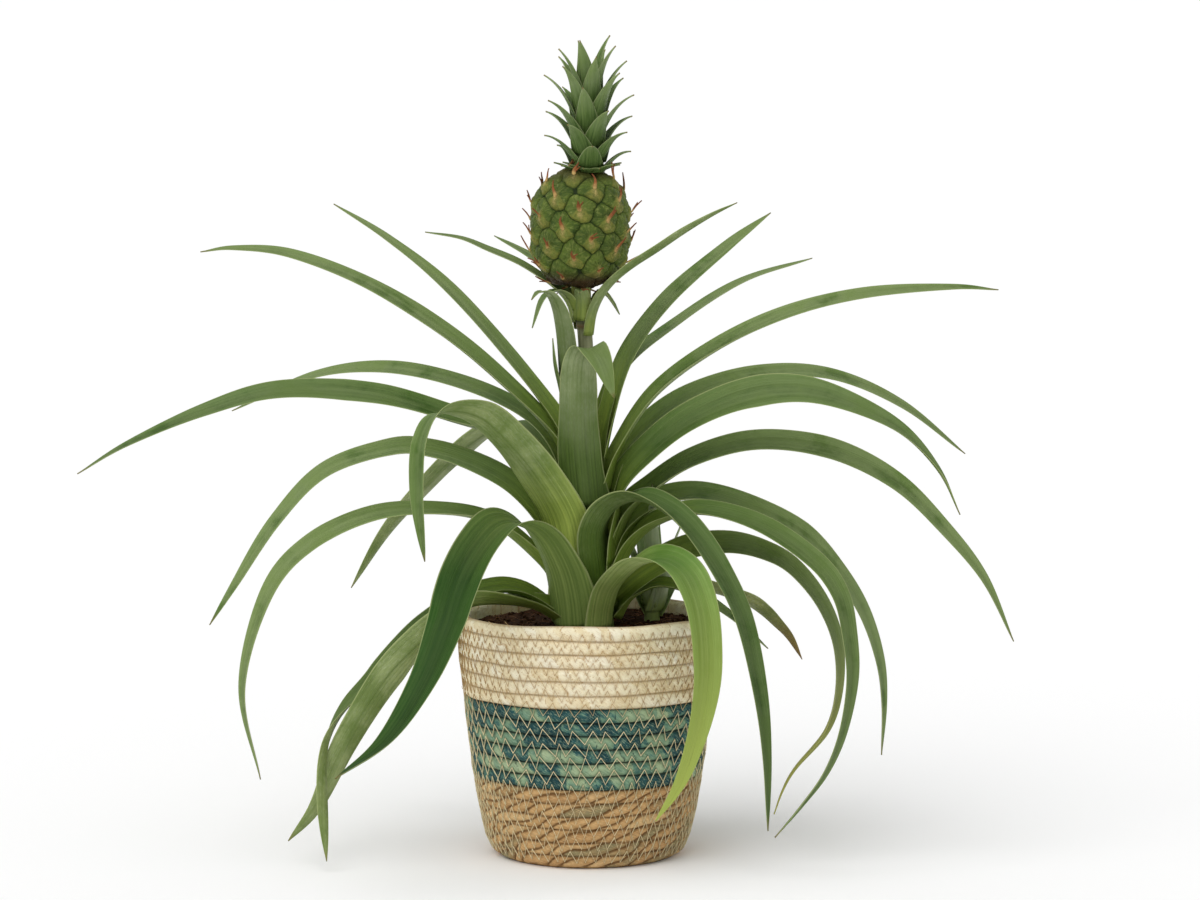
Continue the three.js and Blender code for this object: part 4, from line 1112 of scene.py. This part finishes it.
eyes = [eye_frame(v, i * GOLDEN_ANGLE) for i, v in enumerate(even_shares(FRUIT_EYES))]
nearest_eyes = kdtree.KDTree(len(eyes))
for i, (middle, *_) in enumerate(eyes):
    nearest_eyes.insert(middle, i)
nearest_eyes.balance()
# The bends between the eyes come from noise_vector, which changes from run to run without a seed.
noise.seed_set(BEND_SEED)


def skin_at(point):
    """The skin there: its height over the barrel, how much it is groove, bract and keel, and its
    place in its eye"""
    bent = point + noise.noise_vector(point / BEND_SIZE) * BEND_REACH
    (_, i, near), (_, _, far) = nearest_eyes.find_n(bent, 2)
    middle, side, rise, _ = eyes[i]
    inward = max(0, min(1, (far - near) / GROOVE_WIDTH, (EYE_RADIUS - near) / GROOVE_WIDTH))
    swell = 1 - (1 - inward) ** 2.2
    dome = 1 - min(1, near / 10) ** 2
    across, up = (point - middle).dot(side), (point - middle).dot(rise)
    warp = noise.noise(point / 3.1)
    fine = noise.noise(point / 1.1)
    reach = 1.3 + 0.95 * max(0, -up) + 1.2 * warp - abs(across)
    bract = eased(0.5 + reach) * eased((2.0 - up) / 2.2)
    keel = math.exp(-(across / (0.9 + 0.16 * max(0, -up))) ** 2)
    keel *= eased((3.0 - up) / 3) * eased((up + 8) / 5)
    wrinkle = 0.5 * math.sin(math.atan2(across, up) * EYE_WRINKLES + 1.6 * warp + i) + 1.1 * fine
    wrinkle *= eased(near / 3) * inward
    lift = 0.5 * swell + 0.42 * dome + 0.13 * bract + 0.24 * keel * dome + 0.09 * wrinkle
    return EYE_RISE * lift - EYE_SUNK, 1 - swell, bract, keel, (across, up, 4.0 * i)


rows = [math.cos(math.pi * k / FRUIT_RINGS) for k in range(FRUIT_RINGS + 1)]
fruit_outline = [(fruit_point(-v, 0).x + STALK_LEAN, fruit_point(-v, 0).z) for v in rows]
fruit = spun(fruit_outline, FRUIT_STEPS)
layers = [fruit.verts.layers.float.new(name) for name in ("groove", "bract", "keel")]
in_eye = fruit.verts.layers.float_vector.new("in_eye")
bmesh.ops.translate(fruit, verts=fruit.verts, vec=(-STALK_LEAN * MM, 0, 0))
for vert in fruit.verts:
    high, *shares, place = skin_at(vert.co / MM)
    for layer, share in zip(layers, shares):
        vert[layer] = share
    vert[in_eye] = place
    vert.co += vert.normal * high * MM
berry, tree, shader = material("berry_skin", 0.5, 0.2)
place = own_place(tree)
eye_place = node(tree, "Attribute", attribute_name="in_eye").outputs["Vector"]
flat_place = calc_vector(tree, "MULTIPLY", eye_place, (1, 1, 0))
outwards = calc_vector(tree, "NORMALIZE", flat_place)
spread = calc_vector(tree, "MULTIPLY", eye_place, (0.22, 0.22, 1))
rays = cloud(tree, calc_vector(tree, "MULTIPLY_ADD", outwards, (4.5, 4.5, 4.5), spread), 1.0, 3, 0.6)
mottle = cloud(tree, place, 330.0, 5, 0.75)
speckle = cloud(tree, place, 1000.0, 3, 0.7)
patches = cloud(tree, place, 110.0, 3, 0.6)
own = cloud(tree, calc_vector(tree, "MULTIPLY", eye_place, (0, 0, 1.37)), 1.0, 0, 0.5)
leafy = calc(tree, "MULTIPLY", attribute(tree, "bract"), ramp(tree, mottle, 0.35, 0.6, 0.8, 0.2))
bare = calc(tree, "MULTIPLY", attribute(tree, "keel"), ramp(tree, mottle, 0.3, 0.6, 0.95, 0.1))
groove = attribute(tree, "groove")
height = part_of(tree, place, "Z")
# The two groove marks are partly the darker skin between the eyes and partly painted shade down in the
# grooves. The first height mark is a painted shadow under the fruit where it sits on the stalk; the last
# makes the skin darker and browner at the very top, under the crown.
tint = stained(
    tree, srgb(46, 68, 14),
    (ramp(tree, patches, 0.38, 0.62), srgb(86, 106, 34)),
    (ramp(tree, own, 0.35, 0.65, 0.0, 0.5), srgb(100, 116, 46)),
    (ramp(tree, rays, 0.5, 0.7, 0.0, 0.5), srgb(136, 144, 72)),
    (ramp(tree, mottle, 0.55, 0.72, 0.0, 0.6), srgb(154, 160, 92)),
    (leafy, srgb(136, 134, 58)),
    (bare, srgb(192, 168, 108)),
    (ramp(tree, speckle, 0.55, 0.7, 0.0, 0.55), srgb(56, 74, 28)),
    (ramp(tree, groove, 0.35, 0.85, 0.0, 0.85), srgb(44, 66, 18)),
    (ramp(tree, groove, 0.7, 1.0, 0.0, 0.8), srgb(22, 38, 10)),
    (ramp(tree, height, 0.3365, 0.3435, 0.9, 0.0), srgb(54, 28, 18)),
    (ramp(tree, height, 0.3925, 0.398, 0.0, 0.7), srgb(66, 56, 28)))
tree.links.new(ramp(tree, mottle, 0.3, 0.7, 0.42, 0.62), shader.inputs["Roughness"])
painted(tree, shader, tint, mottle, 0.0013)
finished("fruit_skin", fruit, berry, "fruit_skin", "fruit")

# Dried bract points
# The point of each bract has dried to a curled, frayed, orange-brown tip that stands up out of
# the middle of its eye.
POINT_STEPS = 16
POINT_AROUND = 8
POINT_SUNK = 2.4
POINT_CUP = -0.25
POINT_THICKNESS = 0.6
points = bmesh.new()
layers = blade_layers(points)
for i, (middle, side, rise, out) in enumerate(eyes):
    high = skin_at(middle)[0]
    strands = 2 if chance(i, "frayed") > 0.45 else 1
    for strand in range(strands):
        length = 5.2 + 3.8 * chance(i, "length") - 1.8 * strand
        swing = 1.3 * (chance(i, "swing") - 0.5) + (0.9 if strand else 0)
        lift = 0.3 + 0.5 * chance(i, "lift")
        curl = 0.9 * (chance(i, strand, "curl") - 0.35)
        spot = middle - rise * POINT_SUNK + out * (high - 0.4)
        sections = []
        for step in range(POINT_STEPS + 1):
            share = step / POINT_STEPS
            tilt = lift + curl * share
            lean = swing * share + 0.35 * math.sin(share * 5 + i)
            along = (rise * math.cos(tilt) + out * math.sin(tilt) + side * lean).normalized()
            twist = 1.6 * share * (chance(i, strand, "twist") - 0.5)
            flat = (side - along * side.dot(along)).normalized()
            normal = flat.cross(along)
            across = flat * math.cos(twist) + normal * math.sin(twist)
            wide = 0.35 + (2.6 - 0.7 * strand) * eased(share * 5 + 0.3) * (1 - share) ** 0.8
            sections.append((spot * MM, across, across.cross(along), wide * MM, POINT_CUP,
                             POINT_THICKNESS * MM))
            spot = spot + along * (length + POINT_SUNK) / POINT_STEPS
        add_blade(points, layers, sections, POINT_AROUND)
close_blades(points)
dried, tree, shader = material("dried_point", 0.7, 0.2)
share = attribute(tree, "share")
fleck = cloud(tree, own_place(tree), 500.0, 4, 0.7)
tint = stained(
    tree, srgb(188, 158, 98),
    (ramp(tree, share, 0.12, 0.45), srgb(146, 88, 48)),
    (ramp(tree, share, 0.5, 1.0, 0.0, 0.8), srgb(106, 60, 34)),
    (ramp(tree, fleck, 0.45, 0.7, 0.0, 0.6), srgb(92, 48, 28)))
painted(tree, shader, tint, fleck, 0.0004)
finished("dried_bract_points", points, dried, "fruit_skin")

# Crown
# A tuft of short stiff leaves on top of the fruit, broad at their feet and bent out at their
# tips, which grow longer and steeper towards the top.
CROWN_AT = (0.5, 0)
CROWN_BOTTOM = 398.4
CROWN_CORE = ((9.5, 0), (7.1, 12), (3.5, 44))
CROWN_CORE_STEPS = 20
CROWN_LEAVES = 30
CROWN_HEIGHTS = (1.5, 41.5)
CROWN_RADII = (7, 1.5)
CROWN_LENGTHS = (21, 39)
CROWN_LONGEST_FROM = 0.6
CROWN_WIDTHS = (15.5, 16.5)
CROWN_LEANS = (0.74, 0.14)
CROWN_CURLS = (1.0, 0.6)
CROWN_STEPS = 22
SKIRT_LEAVES = 13

crown = tuft_core(CROWN_CORE, *CROWN_AT, CROWN_BOTTOM, CROWN_CORE_STEPS)
layers = blade_layers(crown)
for k in range(CROWN_LEAVES):
    share = k / (CROWN_LEAVES - 1)
    sections = tuft_sections((*CROWN_AT, CROWN_BOTTOM), k * GOLDEN_ANGLE,
                             between(CROWN_RADII, share), between(CROWN_HEIGHTS, share),
                             between(CROWN_LENGTHS, min(share / CROWN_LONGEST_FROM, 1)),
                             between(CROWN_WIDTHS, share), between(CROWN_LEANS, share),
                             between(CROWN_CURLS, share), CROWN_STEPS, keel=2.4, fullness=1.35)
    # Painted shade: the lower a leaf grows, the darker its tone.
    add_blade(crown, layers, sections, TUFT_AROUND, 1 - share * share)
for k in range(SKIRT_LEAVES):
    sections = tuft_sections((*CROWN_AT, CROWN_BOTTOM), k * math.tau / SKIRT_LEAVES + 0.2,
                             radius=6.5, height=0.6 + 1.6 * chance(k, "skirt"),
                             length=11 + 3.5 * chance(k, "reach"), width=8.5,
                             lean=1.15 + 0.2 * chance(k, "tilt"), curl=0.35, steps=14,
                             keel=1.6, fullness=1.3)
    # The skirt leaves, lowest of all, get the darkest tone as painted shade.
    add_blade(crown, layers, sections, TUFT_AROUND, 1.0)
close_blades(crown)
# The dark foot colour is painted shade low down between the crown's leaves.
crown_green = leaf_finish("crown_leaf", srgb(126, 150, 84), srgb(166, 180, 134), srgb(50, 84, 16),
                          srgb(160, 168, 122), srgb(140, 118, 76), foot_length=0.036, tip_share=0.95,
                          vein_scale=1.6)
finished("crown_tuft", crown, crown_green, "crown_leaf", "crown")

# Studio
# A plain pale floor in a white room, under one very large, soft lamp that stands above the
# camera and to its left.
FLOOR_SIZE = 60
LAMP_STRENGTH = 1.5
LAMP_SPREAD = math.radians(60)
LAMP_SHINES = (1.0, 1.3, -2.4)
floor_mesh = bmesh.new()
bmesh.ops.create_grid(floor_mesh, x_segments=1, y_segments=1, size=FLOOR_SIZE / 2)
floor_data = bpy.data.meshes.new("floor")
floor_mesh.to_mesh(floor_data)
floor_mesh.free()
pale, tree, shader = material("pale_floor", 0.9, 0.0)
shader.inputs["Base Color"].default_value = (0.96, 0.96, 0.96, 1)
floor_data.materials.append(pale)
show("floor", floor_data)

room = bpy.data.worlds.new("white_room")
room.use_nodes = True
room.node_tree.nodes["Background"].inputs["Color"].default_value = (1, 1, 1, 1)
room.node_tree.nodes["Background"].inputs["Strength"].default_value = 0.66
scene.world = room

overhead = bpy.data.lights.new("overhead_softbox", "SUN")
overhead.energy = LAMP_STRENGTH
overhead.angle = LAMP_SPREAD
softbox = show("overhead_softbox", overhead)
softbox.rotation_euler = Vector(LAMP_SHINES).to_track_quat("-Z", "Y").to_euler()
scene.view_settings.view_transform = "Standard"
